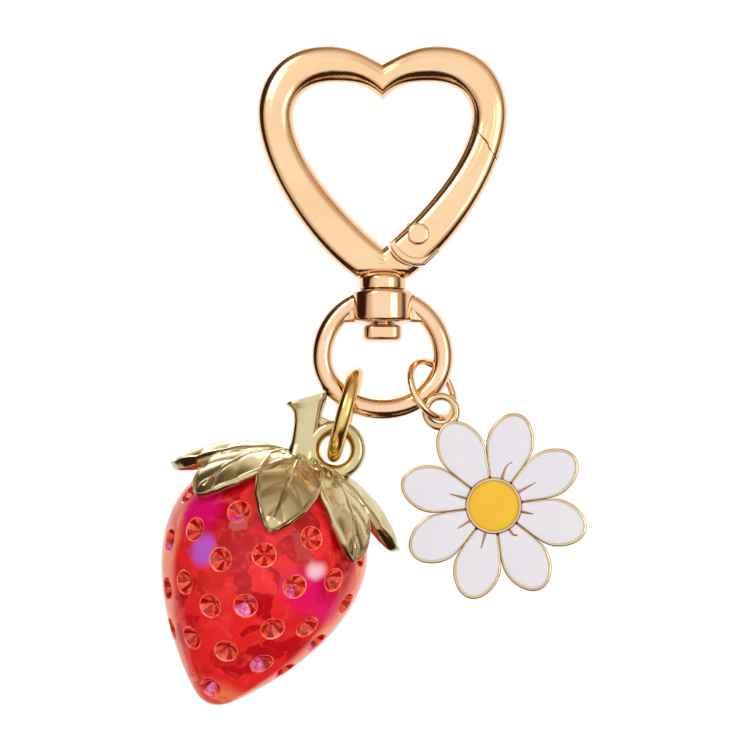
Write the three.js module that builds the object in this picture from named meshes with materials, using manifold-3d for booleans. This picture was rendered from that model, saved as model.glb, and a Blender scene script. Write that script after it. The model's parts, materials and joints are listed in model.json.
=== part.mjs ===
// A heart-shaped spring-gate clasp with a swivel ring that carries two charms:
// a clear strawberry with a metal leaf cap, and an enamelled daisy.
// Millimetres. +Z is up, -Y faces the viewer. The origin is the inner notch of the
// heart, where the clasp hangs on a bag ring.
import * as THREE from 'three';
import { mergeVertices } from 'three/addons/utils/BufferGeometryUtils.js';
import Module from 'manifold-3d';

const wasm = await Module();
wasm.setup();

// Clearances
const RUNNING_GAP = 0.3; // between pieces that turn or slide on each other
const SEAT_GAP = 0.2; // between pieces that are fixed to each other

// Heart clasp: half outlines in the XZ plane
const HEART_HALF_WIDTH = 16.16;
const HEART_WIDEST_Z = -1.8;
const HEART_THICKNESS = 4;
const HEART_EDGE_RADIUS = 1;
const LOBE_TOP = new THREE.Vector2(7.06, 7.02);
const OUTER_NOTCH_Z = 4.64;
const BAND_WIDTH_AT_SIDE = 4.5;
const BAND_WIDTH_AT_TOP = 4.64;
const INNER_POINT_Z = -19.3;
const SHOULDER = new THREE.Vector2(3.3, -23.3); // where each arm meets the neck

// Gate and its hinge
const PIN_CENTRE = new THREE.Vector2(4.58, -17.8);
const PIN_RADIUS = 0.75;
const PIN_HEAD_RADIUS = 1.4;
const PIN_HEAD_HEIGHT = 0.45;
const GATE_END_RADIUS = 3.8;
const NOSE_INNER = new THREE.Vector2(HEART_HALF_WIDTH - 4.23, -4.13); // ends of the nose cut
const NOSE_OUTER = new THREE.Vector2(HEART_HALF_WIDTH - 1.52, -7.48);
const BLADE_REACH = 6; // how far the gate's cut runs past the arm's outer edge
const TANG_THICKNESS = 1.3;
const TANG_RADIUS = 1.6;
const TANG_FLAT = 1.2; // from the pin centre to the flat that holds the gate shut
const TANG_ROOT = 5.2; // from the pin centre into the solid foot of the heart
const PLUNGER_RADIUS = 0.7;
const PLUNGER_LENGTH = 1.6;
const SPRING_WIRE = 0.3;
const SPRING_LENGTH = 3.2;
const SPRING_TURNS = 5;
const BORE_LEAN = THREE.MathUtils.degToRad(6); // the bore leans out with the curved arm

// Neck, swivel post and swivel ring
const NECK_RADIUS = 3.1;
const NECK_BOTTOM_Z = -24.7;
const BOSS_RADIUS = 3.9;
const BOSS_HEIGHT = 4.15;
const BOSS_EDGE = 0.6;
const SHOULDER_HALF_WIDTH = 4.75;
const POST_RADIUS = 1.3;
const POST_IN_NECK = 2.6;
const POST_HEAD_RADIUS = 2.5;
const POST_HEAD_HEIGHT = 2;
const RING_HALF_WIDTH = 7.87; // to the middle of the wire
const RING_DROP = 6.77; // from the widest level down to the lowest wire centre
const RING_CENTRE_Z = NECK_BOTTOM_Z - 8.84;
const RING_WIRE_RADIUS = 1.3;

// Strawberry charm: its frame has +Z up the stem, and is tilted in the clasp's frame
const BERRY_TILT = THREE.MathUtils.degToRad(20);
const BERRY_RADIUS = 13.2;
const BERRY_TOP = 12;
const BERRY_LENGTH_BELOW = 20.9;
const SEED_RADIUS = 1.55;
const SEED_DEPTH = 1.1;
const CAP_THICKNESS = 1;
const CAP_LIFT = 0.9; // how far the leaf tips stand off the berry
const CAP_RIM = 3; // height of the leaf tips above the widest level
const LEAF_HALF_WIDTH = 3.95;
const LEAF_COUNT = 7;
const STEM_HEIGHT = 8;
const STEM_RADIUS = 1.4;
const STEM_ASIDE = 0.3; // the stem's foot from the berry's axis
const STEM_LEAN = THREE.MathUtils.degToRad(-13);
const BAIL_RADIUS = 3.9;
const BAIL_HOLE_RADIUS = 1.95;
const BAIL_THICKNESS = 3.2;
const BAIL_CLEARANCE = 0.36; // between the bail's hole and the ring's wire where it hangs
const BAIL_ASIDE = 3.7; // the bail's hole from the berry's axis
const BAIL_ABOVE = 2.99; // the bail's hole above the berry's top
const BERRY_LINK_ROOM = 4.07; // from the swivel ring's wire to the middle of the link's wire
const BERRY_LINK_RADIUS = RING_WIRE_RADIUS + BERRY_LINK_ROOM;
const BERRY_LINK_WIRE = 1.03;
const BERRY_LINK_LEAN = THREE.MathUtils.degToRad(15);
const BERRY_LINK_ANGLE = THREE.MathUtils.degToRad(236.4); // where it hangs on the swivel ring
const BERRY_LINK_DROP = 5.91; // from the swivel ring's wire down to the middle of the link's wire

// Daisy charm
const DAISY_BELOW_BAIL = 1.59; // from the petals' reach to the bail's centre
const PETAL_COUNT = 8;
const PETAL_REACH = 12.2;
const PETAL_HALF_WIDTH = 3.35;
const PETAL_PHASE = THREE.MathUtils.degToRad(30);
const PLATE_THICKNESS = 1.6;
const RIM_WIDTH = 0.45;
const ENAMEL_DEPTH = 0.7;
const CENTRE_RADIUS = 3.6;
const DAISY_BAIL_RADIUS = 1.95;
const DAISY_BAIL_WIRE = 0.5;
const DAISY_BAIL_CLEARANCE = 0.21;
const DAISY_LINK_ROOM = 2.7;
const DAISY_LINK_RADIUS = RING_WIRE_RADIUS + DAISY_LINK_ROOM;
const DAISY_LINK_WIRE = 0.45;
const DAISY_LINK_TURN = THREE.MathUtils.degToRad(53);
const DAISY_LINK_LEAN = THREE.MathUtils.degToRad(28);
const DAISY_LINK_ANGLE = THREE.MathUtils.degToRad(-32.7);
const DAISY_LINK_DROP = 3.58;

const GOLD = { color: 0xe6b48c, roughness: 0.18, metalness: 1 };
const YELLOW_GOLD = { color: 0xd9a94e, roughness: 0.2, metalness: 1 };
const PALE_GOLD = { color: 0xd0bb84, roughness: 0.25, metalness: 1 };
const STEEL = { color: 0xb9b6b0, roughness: 0.3, metalness: 1 };
const BERRY_RED = { color: 0xe8302f, roughness: 0.08, metalness: 0, transparent: true, opacity: 0.8 };
const WHITE_ENAMEL = { color: 0xf0ecf8, roughness: 0.12, metalness: 0 };
const YELLOW_ENAMEL = { color: 0xffc828, roughness: 0.15, metalness: 0 };

const part = new THREE.Group();

// ---------------------------------------------------------------- helpers

// A closed indexed mesh with shared vertices, no collapsed triangles, facing outwards.
function weld(geometry) {
  geometry.deleteAttribute('normal');
  geometry.deleteAttribute('uv');
  const merged = mergeVertices(geometry, 1e-4);
  const position = merged.attributes.position;
  const kept = [];
  const a = new THREE.Vector3();
  const b = new THREE.Vector3();
  const c = new THREE.Vector3();
  let volume = 0;
  for (let i = 0; i < merged.index.count; i += 3) {
    const [u, v, w] = [0, 1, 2].map((k) => merged.index.getX(i + k));
    if (u !== v && v !== w && w !== u) {
      kept.push(u, v, w);
      a.fromBufferAttribute(position, u);
      b.fromBufferAttribute(position, v);
      c.fromBufferAttribute(position, w);
      volume += a.dot(b.cross(c));
    }
  }
  merged.setIndex(volume < 0 ? kept.reverse() : kept);
  return merged;
}

function toSolid(geometry) {
  const welded = weld(geometry);
  return new wasm.Manifold(new wasm.Mesh({
    numProp: 3,
    vertProperties: new Float32Array(welded.attributes.position.array),
    triVerts: new Uint32Array(welded.index.array),
  }));
}

function toGeometry(solid) {
  const mesh = solid.getMesh();
  const geometry = new THREE.BufferGeometry();
  geometry.setAttribute('position', new THREE.BufferAttribute(mesh.vertProperties, 3));
  geometry.setIndex(new THREE.BufferAttribute(mesh.triVerts, 1));
  geometry.computeVertexNormals();
  return geometry;
}

function addPiece(parent, name, geometry, finish) {
  const mesh = new THREE.Mesh(geometry, new THREE.MeshStandardMaterial(finish));
  mesh.name = name;
  parent.add(mesh);
  return mesh;
}

// A flat shape drawn in X and Z, given a thickness in Y about the given middle.
function slab(shape, thickness, middle = 0, edge = 0, inset = 0, curveSegments = 6) {
  const geometry = new THREE.ExtrudeGeometry(shape, {
    depth: thickness - 2 * edge,
    bevelEnabled: edge > 0 || inset > 0,
    bevelThickness: edge,
    bevelSize: edge,
    bevelOffset: -edge - inset,
    bevelSegments: edge > 0.5 ? 3 : 1,
    curveSegments,
  });
  geometry.translate(0, 0, -(thickness - 2 * edge) / 2);
  geometry.rotateX(Math.PI / 2);
  geometry.translate(0, middle, 0);
  return geometry;
}

function disc(centre, radius) {
  return new THREE.Shape().absarc(centre.x, centre.y, radius, 0, 2 * Math.PI, false);
}

// A turned solid about the Z axis: pairs of radius and height.
function turned(profile, segments = 28) {
  const points = profile.map(([r, z]) => new THREE.Vector2(r, z));
  const geometry = new THREE.LatheGeometry(points, segments);
  geometry.rotateX(Math.PI / 2);
  return geometry;
}

// The point at a distance from another in a direction.
function towards(point, direction, distance) {
  return point.clone().addScaledVector(direction.clone().normalize(), distance);
}

// A closed ring of round wire with its axis along Y.
function wireRing(radius, wire, around = 36, sides = 8) {
  const geometry = new THREE.TorusGeometry(radius, wire, sides, around);
  geometry.rotateX(Math.PI / 2);
  return geometry;
}

// ---------------------------------------------------------------- heart and gate

// The right half of a heart: up over the lobe, out to the widest point, down to the foot.
function traceHeart(path, top, widest, notchZ, foot, pulls) {
  path.bezierCurveTo(
    pulls.notchX, notchZ + pulls.notchRise,
    pulls.lobeX, top.y,
    top.x, top.y,
  );
  path.bezierCurveTo(
    top.x + 0.8 * (widest.x - top.x), top.y,
    widest.x, widest.y + 0.36 * (top.y - widest.y),
    widest.x, widest.y,
  );
  path.bezierCurveTo(
    widest.x, widest.y - pulls.sideDrop,
    foot.x + pulls.footOut, foot.y + pulls.footRise,
    foot.x, foot.y,
  );
}

// Half outlines run from the notch to the foot; the left half is the mirrored right half.
function mirrored(trace, foot, notchZ) {
  const right = new THREE.Path();
  right.moveTo(0, notchZ);
  trace(right);
  const points = right.getPoints(6);
  const left = points.map((p) => new THREE.Vector2(-p.x, p.y)).reverse();
  return [...points, ...left.slice(foot.x === 0 ? 1 : 0, -1)].reverse();
}

const outerWidest = new THREE.Vector2(HEART_HALF_WIDTH, HEART_WIDEST_Z);
const innerWidest = new THREE.Vector2(HEART_HALF_WIDTH - BAND_WIDTH_AT_SIDE, HEART_WIDEST_Z - 0.3);
const innerTop = new THREE.Vector2(LOBE_TOP.x - 0.92, LOBE_TOP.y - BAND_WIDTH_AT_TOP);
const innerNotchZ = OUTER_NOTCH_Z - BAND_WIDTH_AT_TOP;
const innerFoot = new THREE.Vector2(0, INNER_POINT_Z);

// How far each curve is pulled along its ends' directions.
const outerPulls = {
  notchX: 2, notchRise: 1.11, lobeX: 4.2, sideDrop: 7.3, footOut: 5.98, footRise: 3.92,
};
const innerPulls = {
  notchX: 1.8, notchRise: 1.9, lobeX: 3.1, sideDrop: 5.71, footOut: 4.46, footRise: 3.76,
};

const outerOutline = mirrored(
  (p) => traceHeart(p, LOBE_TOP, outerWidest, OUTER_NOTCH_Z, SHOULDER, outerPulls),
  SHOULDER, OUTER_NOTCH_Z,
);
const innerOutline = mirrored(
  (p) => traceHeart(p, innerTop, innerWidest, innerNotchZ, innerFoot, innerPulls),
  innerFoot, innerNotchZ,
);

function heartSolid() {
  const shape = new THREE.Shape(outerOutline);
  shape.holes.push(new THREE.Path(innerOutline));
  return toSolid(slab(shape, HEART_THICKNESS, 0, HEART_EDGE_RADIUS));
}

const armDirection = NOSE_INNER.clone().add(NOSE_OUTER).multiplyScalar(0.5).sub(PIN_CENTRE).normalize();
const armSide = new THREE.Vector2(armDirection.y, -armDirection.x);

function fromPin(along, across) {
  return PIN_CENTRE.clone()
    .addScaledVector(armDirection, along)
    .addScaledVector(armSide, across);
}

// Everything that the gate takes from the heart, grown by a gap for the frame's cut.
function gateRegion(gap) {
  const noseLine = NOSE_OUTER.clone().sub(NOSE_INNER).normalize();
  const noseUp = new THREE.Vector2(-noseLine.y, noseLine.x).multiplyScalar(gap);
  const blade = new THREE.Shape([
    fromPin(0, -GATE_END_RADIUS),
    fromPin(0, BLADE_REACH),
    NOSE_OUTER.clone().addScaledVector(noseLine, BLADE_REACH).add(noseUp),
    NOSE_INNER.clone().addScaledVector(noseLine, -BLADE_REACH / 2).add(noseUp),
  ]);
  const depth = 3 * HEART_THICKNESS;
  return toSolid(slab(blade, depth)).add(
    toSolid(slab(disc(PIN_CENTRE, GATE_END_RADIUS + gap), depth)),
  );
}

function tangSolid() {
  const flatAngle = Math.acos(TANG_FLAT / TANG_RADIUS);
  const facing = armDirection.angle();
  const shape = new THREE.Shape();
  shape.absarc(
    PIN_CENTRE.x, PIN_CENTRE.y, TANG_RADIUS,
    facing + flatAngle, facing - flatAngle + 2 * Math.PI, false,
  );
  const root = new THREE.Shape([
    fromPin(0, -TANG_RADIUS),
    fromPin(0, TANG_RADIUS),
    fromPin(-TANG_ROOT, TANG_RADIUS),
    fromPin(-TANG_ROOT, -TANG_RADIUS),
  ]);
  const bore = disc(PIN_CENTRE, PIN_RADIUS + SEAT_GAP);
  return toSolid(slab(shape, TANG_THICKNESS))
    .add(toSolid(slab(root, TANG_THICKNESS)))
    .subtract(toSolid(slab(bore, 2 * TANG_THICKNESS)));
}

function neckSolid() {
  const top = INNER_POINT_Z - 1.6;
  const neck = turned([[0, NECK_BOTTOM_Z], [NECK_RADIUS, NECK_BOTTOM_Z], [NECK_RADIUS, SHOULDER.y],
    [HEART_THICKNESS / 2 - 0.3, top], [0, top]]);
  return toSolid(neck);
}

function postHole() {
  const radius = POST_RADIUS + SEAT_GAP;
  const top = NECK_BOTTOM_Z + POST_IN_NECK + SEAT_GAP;
  return toSolid(turned([[0, NECK_BOTTOM_Z - 1], [radius, NECK_BOTTOM_Z - 1], [radius, top], [0, top]]));
}

const heart = heartSolid();

function heartFrame() {
  return heart
    .subtract(gateRegion(RUNNING_GAP))
    .add(neckSolid())
    .subtract(toSolid(slab(disc(PIN_CENTRE, GATE_END_RADIUS + RUNNING_GAP), 3 * HEART_THICKNESS)))
    .add(tangSolid())
    .subtract(postHole());
}

const boreDirection = armDirection.clone().rotateAround(new THREE.Vector2(), -BORE_LEAN);
const plungerStart = TANG_FLAT + 0.15;
const plungerEnd = plungerStart + PLUNGER_LENGTH;
const springEnd = plungerEnd + SEAT_GAP + SPRING_LENGTH;
const boreEnd = springEnd + SEAT_GAP;

// Stands a solid turned about Z along the bore, starting at the pin.
function alongBore(geometry) {
  geometry.rotateY(Math.PI / 2 - boreDirection.angle());
  geometry.translate(PIN_CENTRE.x, 0, PIN_CENTRE.y);
  return geometry;
}

function gateSolid() {
  const slotWidth = TANG_THICKNESS + 2 * RUNNING_GAP;
  const sweep = new THREE.Shape();
  const behind = armDirection.angle() + Math.PI;
  sweep.absarc(
    PIN_CENTRE.x, PIN_CENTRE.y, GATE_END_RADIUS + 1,
    behind - Math.PI / 2, behind + Math.PI / 2, false,
  );
  const boreRadius = PLUNGER_RADIUS + RUNNING_GAP;
  const bore = turned([[0, 0], [boreRadius, 0], [boreRadius, boreEnd], [0, boreEnd]], 14);
  return heart
    .intersect(gateRegion(0))
    .subtract(toSolid(slab(sweep, slotWidth)))
    .subtract(toSolid(slab(disc(PIN_CENTRE, TANG_RADIUS + RUNNING_GAP), slotWidth)))
    .subtract(toSolid(slab(disc(PIN_CENTRE, PIN_RADIUS + RUNNING_GAP), 3 * HEART_THICKNESS)))
    .subtract(toSolid(alongBore(bore)));
}

function pinSolid() {
  const inner = HEART_THICKNESS / 2 + SEAT_GAP;
  const outer = inner + PIN_HEAD_HEIGHT;
  const crown = outer - 0.15;
  const geometry = turned([
    [0, -outer], [0.8 * PIN_HEAD_RADIUS, -outer], [PIN_HEAD_RADIUS, -crown], [PIN_HEAD_RADIUS, -inner],
    [PIN_RADIUS, -inner], [PIN_RADIUS, inner], [PIN_HEAD_RADIUS, inner], [PIN_HEAD_RADIUS, crown],
    [0.8 * PIN_HEAD_RADIUS, outer], [0, outer],
  ], 20);
  geometry.rotateX(Math.PI / 2);
  geometry.translate(PIN_CENTRE.x, 0, PIN_CENTRE.y);
  return weld(geometry);
}

function plungerSolid() {
  const r = PLUNGER_RADIUS;
  const geometry = turned([
    [0, plungerStart], [0.75 * r, plungerStart], [r, plungerStart + 0.2],
    [r, plungerEnd], [0, plungerEnd],
  ], 14);
  return weld(alongBore(geometry));
}

class Helix extends THREE.Curve {
  getPoint(t, target = new THREE.Vector3()) {
    const angle = 2 * Math.PI * SPRING_TURNS * t;
    const radius = PLUNGER_RADIUS - SPRING_WIRE / 2;
    const start = plungerEnd + SEAT_GAP + SPRING_WIRE / 2;
    const length = SPRING_LENGTH - SPRING_WIRE;
    return target.set(radius * Math.cos(angle), radius * Math.sin(angle), start + length * t);
  }
}

function springSolid() {
  const wire = new THREE.Shape();
  wire.absarc(0, 0, SPRING_WIRE / 2, 0, 2 * Math.PI, false);
  const geometry = new THREE.ExtrudeGeometry(wire, {
    steps: 8 * SPRING_TURNS,
    curveSegments: 3,
    extrudePath: new Helix(),
  });
  return weld(alongBore(geometry));
}

addPiece(part, 'heart_frame', toGeometry(heartFrame()), GOLD);
addPiece(part, 'gate', toGeometry(gateSolid()), GOLD);
addPiece(part, 'gate_pin', pinSolid(), GOLD);
addPiece(part, 'gate_plunger', plungerSolid(), STEEL);
addPiece(part, 'gate_spring', springSolid(), STEEL);

// ---------------------------------------------------------------- swivel

const bossTop = NECK_BOTTOM_Z - RUNNING_GAP;
const bossBottom = bossTop - BOSS_HEIGHT;
const headTop = bossBottom - RUNNING_GAP;

function postSolid() {
  const top = NECK_BOTTOM_Z + POST_IN_NECK;
  const bottom = headTop - POST_HEAD_HEIGHT;
  return weld(turned([
    [0, bottom], [POST_HEAD_RADIUS - 0.5, bottom], [POST_HEAD_RADIUS, bottom + 0.5],
    [POST_HEAD_RADIUS, headTop - 0.3], [POST_HEAD_RADIUS - 0.3, headTop],
    [POST_RADIUS, headTop], [POST_RADIUS, top], [0, top],
  ], 24));
}

// A point of the swivel ring's wire, by its angle from the right-hand side.
function ringPoint(angle) {
  const height = Math.sin(angle) > 0 ? RING_HALF_WIDTH : RING_DROP;
  return new THREE.Vector3(
    RING_HALF_WIDTH * Math.cos(angle), 0,
    RING_CENTRE_Z + height * Math.sin(angle),
  );
}

class RingPath extends THREE.Curve {
  getPoint(t, target = new THREE.Vector3()) {
    const start = Math.acos(-(BOSS_RADIUS - 0.9) / RING_HALF_WIDTH);
    const angle = start + t * (3 * Math.PI - 2 * start);
    return target.copy(ringPoint(angle));
  }
}

function swivelRing() {
  const wire = new THREE.Shape();
  wire.absarc(0, 0, RING_WIRE_RADIUS, 0, 2 * Math.PI, false);
  const loop = new THREE.ExtrudeGeometry(wire, {
    steps: 40,
    curveSegments: 5,
    extrudePath: new RingPath(),
  });
  const inner = bossTop - BOSS_EDGE;
  const outer = bossBottom + BOSS_EDGE;
  const barrel = turned([
    [0, bossBottom], [BOSS_RADIUS - BOSS_EDGE, bossBottom], [BOSS_RADIUS, outer],
    [BOSS_RADIUS, inner], [BOSS_RADIUS - BOSS_EDGE, bossTop], [0, bossTop],
  ], 24);
  const boreRadius = POST_RADIUS + RUNNING_GAP;
  const bore = turned([
    [0, bossBottom - 1], [boreRadius, bossBottom - 1], [boreRadius, bossTop + 1], [0, bossTop + 1],
  ], 20);
  const shoulders = new THREE.BoxGeometry(2 * SHOULDER_HALF_WIDTH, 3.6, BOSS_HEIGHT - 1);
  shoulders.translate(0, 0, (bossTop + bossBottom) / 2 - 0.2);
  return toSolid(loop).add(toSolid(barrel)).add(toSolid(shoulders)).subtract(toSolid(bore));
}

addPiece(part, 'swivel_post', postSolid(), GOLD);
addPiece(part, 'swivel_ring', toGeometry(swivelRing()), GOLD);

// ---------------------------------------------------------------- strawberry charm

// The jump ring hangs on the swivel ring, the bail on the jump ring, the berry on its bail.
const berryLinkCentre = towards(
  ringPoint(BERRY_LINK_ANGLE), new THREE.Vector3(-0.26, 0, -0.966),
  RING_WIRE_RADIUS + BERRY_LINK_DROP - BERRY_LINK_RADIUS,
);
const linkDown = new THREE.Vector3(-Math.sin(BERRY_LINK_LEAN), 0, -Math.cos(BERRY_LINK_LEAN));
const bailHole = towards(
  towards(berryLinkCentre, linkDown, BERRY_LINK_RADIUS), new THREE.Vector3(-0.34, 0, 0.94),
  BAIL_HOLE_RADIUS - BERRY_LINK_WIRE - BAIL_CLEARANCE,
);
const bailInBerry = new THREE.Vector3(BAIL_ASIDE, 0, BERRY_TOP + BAIL_ABOVE);

const berry = new THREE.Group();
berry.rotation.y = BERRY_TILT;
berry.position.copy(bailHole).sub(bailInBerry.clone().applyEuler(berry.rotation));
part.add(berry);

// Half outline of the berry, from its top at the stem down to its tip.
function berryOutline() {
  const path = new THREE.Path();
  const r = BERRY_RADIUS;
  const tip = -BERRY_LENGTH_BELOW;
  path.moveTo(0, BERRY_TOP);
  path.bezierCurveTo(0.5 * r, BERRY_TOP, r, 0.62 * BERRY_TOP, r, 0);
  path.bezierCurveTo(r, 0.42 * tip, 0.39 * r, 0.85 * tip, 0.13 * r, 0.985 * tip);
  path.quadraticCurveTo(0.06 * r, tip, 0, tip);
  return path.getPoints(6);
}

// The outline moved outwards, a little further near the leaf tips.
function outlineAbove(offset, lift) {
  const points = berryOutline().filter((p) => p.y > 0);
  const moved = points.map((p, i) => {
    const next = points[Math.min(i + 1, points.length - 1)];
    const last = points[Math.max(i - 1, 0)];
    const out = new THREE.Vector2(last.y - next.y, next.x - last.x).normalize();
    const far = offset + (lift * i) / (points.length - 1);
    return new THREE.Vector2(p.x + far * out.x, p.y + far * out.y);
  });
  moved[0].x = 0;
  return moved;
}

// Seeds sit in staggered rings; each row gives height, count and phase in degrees.
const SEED_ROWS = [
  [3.6, 8, -20], [-0.4, 8, 2.5], [-2.8, 8, -20], [-7.1, 8, 2.5], [-8.7, 8, -20], [-13.4, 10, 0],
  [-18.6, 3, -8],
];

function outlineRadius(height) {
  const points = berryOutline();
  const i = points.findIndex((p, k) => k > 0 && p.y <= height && p.x > 0);
  const [a, b] = [points[i - 1], points[i]];
  const t = (a.y - height) / (a.y - b.y);
  return { radius: a.x + t * (b.x - a.x), slope: Math.atan2(a.x - b.x, a.y - b.y) };
}

// A six-sided pyramid cutter sunk into the berry at each seed.
function seedCutter(height, azimuth) {
  const { radius, slope } = outlineRadius(height);
  const over = 0.6;
  const full = SEED_DEPTH + over;
  const cutter = new THREE.ConeGeometry((SEED_RADIUS * full) / SEED_DEPTH, full, 6);
  cutter.rotateX(Math.PI);
  cutter.translate(0, full / 2 - SEED_DEPTH, 0);
  cutter.rotateX(Math.PI + slope);
  cutter.translate(0, -radius, height);
  cutter.rotateZ(THREE.MathUtils.degToRad(azimuth));
  return toSolid(cutter);
}

function berrySolid() {
  const outline = berryOutline().map((p) => [p.x, p.y]).reverse();
  let solid = toSolid(turned(outline, 28));
  for (const [height, count, phase] of SEED_ROWS) {
    for (let i = 0; i < count; i += 1) {
      solid = solid.subtract(seedCutter(height, phase + (360 * i) / count));
    }
  }
  return solid;
}

function leafOutline() {
  const shape = new THREE.Shape();
  const w = LEAF_HALF_WIDTH;
  const top = BERRY_TOP + 3;
  const middle = (BERRY_TOP + CAP_RIM) / 2 + 0.5;
  shape.moveTo(-0.5 * w, top);
  shape.quadraticCurveTo(-1.55 * w, middle, 0, CAP_RIM);
  shape.quadraticCurveTo(1.55 * w, middle, 0.5 * w, top);
  return shape;
}

function capSolid() {
  const inner = outlineAbove(RUNNING_GAP, CAP_LIFT);
  const outer = outlineAbove(RUNNING_GAP + CAP_THICKNESS, CAP_LIFT).reverse();
  const shell = toSolid(turned([...inner, ...outer].map((p) => [p.x, p.y]), 32));
  const hub = turned([[0, 2], [5, 2], [5, BERRY_TOP + 4], [0, BERRY_TOP + 4]], 24);
  let star = toSolid(hub);
  for (let i = 0; i < LEAF_COUNT; i += 1) {
    const depth = BERRY_RADIUS + 6;
    const blade = slab(leafOutline(), depth, -depth / 2);
    blade.rotateZ((2 * Math.PI * i) / LEAF_COUNT);
    star = star.add(toSolid(blade));
  }
  const core = outlineAbove(RUNNING_GAP + CAP_THICKNESS / 2, CAP_LIFT);
  const below = [...core.map((p) => [p.x, p.y]), [0, core.at(-1).y]];
  const upright = stemSolid().add(bailSolid()).subtract(toSolid(turned(below, 24)));
  return shell.intersect(star).add(upright);
}

function stemSolid() {
  const foot = BERRY_TOP - 0.2 + RUNNING_GAP + CAP_THICKNESS / 2;
  const top = BERRY_TOP + STEM_HEIGHT;
  const r = STEM_RADIUS;
  const stem = turned([
    [0, foot], [1.5 * r, foot], [1.05 * r, foot + 2.2], [r, foot + 4],
    [1.25 * r, top], [0, top],
  ], 16);
  stem.translate(0, 0, -foot);
  stem.rotateY(STEM_LEAN);
  stem.translate(STEM_ASIDE, 0, foot);
  return toSolid(stem);
}

function bailSolid() {
  const centre = bailInBerry;
  const lug = disc(new THREE.Vector2(centre.x + 0.3, centre.z + 0.2), BAIL_RADIUS);
  const hole = disc(new THREE.Vector2(centre.x, centre.z), BAIL_HOLE_RADIUS);
  return toSolid(slab(lug, BAIL_THICKNESS, 0, 0.55, 0, 12))
    .subtract(toSolid(slab(hole, 2 * BAIL_THICKNESS, 0, 0, 0, 10)));
}

function berryLink() {
  const ring = addPiece(part, 'strawberry_jump_ring',
    weld(wireRing(BERRY_LINK_RADIUS, BERRY_LINK_WIRE, 36, 10)), YELLOW_GOLD);
  ring.position.copy(berryLinkCentre);
  ring.rotation.set(0, BERRY_LINK_LEAN, Math.PI / 2, 'YXZ');
}

berryLink();
addPiece(berry, 'strawberry_cap', toGeometry(capSolid()), PALE_GOLD);
addPiece(berry, 'strawberry_body', toGeometry(berrySolid()), BERRY_RED);

// ---------------------------------------------------------------- daisy charm

const daisyLinkCentre = towards(
  ringPoint(DAISY_LINK_ANGLE), new THREE.Vector3(-0.22, -0.62, -0.58),
  RING_WIRE_RADIUS + DAISY_LINK_DROP - DAISY_LINK_RADIUS,
);
const daisyHang = towards(daisyLinkCentre, new THREE.Vector3(0.96, -1.18, -3.7), DAISY_LINK_RADIUS);
const daisyBail = towards(
  daisyHang, new THREE.Vector3(0.12, 0, 0.78),
  DAISY_BAIL_RADIUS - DAISY_BAIL_WIRE - DAISY_LINK_WIRE - DAISY_BAIL_CLEARANCE,
);
const daisyCentre = towards(
  daisyBail, new THREE.Vector3(6.7, 0, -12.05), PETAL_REACH + DAISY_BELOW_BAIL,
);

const daisy = new THREE.Group();
daisy.position.copy(daisyCentre);
part.add(daisy);

// One petal pointing along +X, its sides on the lines between neighbouring petals.
function petalShape() {
  const side = Math.tan(Math.PI / PETAL_COUNT);
  const base = 2.6;
  const w = PETAL_HALF_WIDTH;
  const widest = 0.72 * PETAL_REACH;
  const shape = new THREE.Shape();
  shape.moveTo(base, -base * side);
  shape.bezierCurveTo(2 * base, -2 * base * side, widest - 2.2, -w, widest, -w);
  shape.bezierCurveTo(PETAL_REACH - 1.4, -w, PETAL_REACH, -0.55 * w, PETAL_REACH, 0);
  shape.bezierCurveTo(PETAL_REACH, 0.55 * w, PETAL_REACH - 1.4, w, widest, w);
  shape.bezierCurveTo(widest - 2.2, w, 2 * base, 2 * base * side, base, base * side);
  return shape;
}

function petalSlab(index, thickness, middle, edge, inset) {
  const geometry = slab(petalShape(), thickness, middle, edge, inset, 4);
  geometry.rotateY(-PETAL_PHASE - (2 * Math.PI * index) / PETAL_COUNT);
  return geometry;
}

function plateSolid() {
  const front = -PLATE_THICKNESS / 2;
  const origin = new THREE.Vector2();
  let plate = toSolid(slab(disc(origin, CENTRE_RADIUS), PLATE_THICKNESS, 0, 0, 0, 14));
  for (let i = 0; i < PETAL_COUNT; i += 1) {
    plate = plate.add(toSolid(petalSlab(i, PLATE_THICKNESS, 0, 0, 0)));
  }
  for (let i = 0; i < PETAL_COUNT; i += 1) {
    const ring = slab(disc(origin, CENTRE_RADIUS), 2 * PLATE_THICKNESS, 0, 0, 0, 14);
    const recess = toSolid(petalSlab(i, 2 * ENAMEL_DEPTH, front, 0, RIM_WIDTH));
    plate = plate.subtract(recess.subtract(toSolid(ring)));
  }
  const centre = disc(origin, CENTRE_RADIUS - RIM_WIDTH / 2);
  const bail = wireRing(DAISY_BAIL_RADIUS, DAISY_BAIL_WIRE, 24, 8);
  bail.translate(...daisyBail.clone().sub(daisyCentre).toArray());
  return plate
    .subtract(toSolid(slab(centre, 2 * ENAMEL_DEPTH, front, 0, 0, 14)))
    .add(toSolid(bail));
}

function petalEnamel(index) {
  const front = -PLATE_THICKNESS / 2 - 0.1;
  const back = -PLATE_THICKNESS / 2 + ENAMEL_DEPTH - SEAT_GAP;
  const inset = RIM_WIDTH + SEAT_GAP;
  const fill = toSolid(petalSlab(index, back - front, (front + back) / 2, 0.2, inset));
  const keep = disc(new THREE.Vector2(), CENTRE_RADIUS + SEAT_GAP);
  return fill.subtract(toSolid(slab(keep, 2 * PLATE_THICKNESS, 0, 0, 0, 14)));
}

function centreEnamel() {
  const front = -PLATE_THICKNESS / 2 - 0.2;
  const back = -PLATE_THICKNESS / 2 + ENAMEL_DEPTH - SEAT_GAP;
  const radius = CENTRE_RADIUS - RIM_WIDTH / 2 - SEAT_GAP;
  return weld(slab(disc(new THREE.Vector2(), radius), back - front, (front + back) / 2, 0.2, 0, 14));
}

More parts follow.
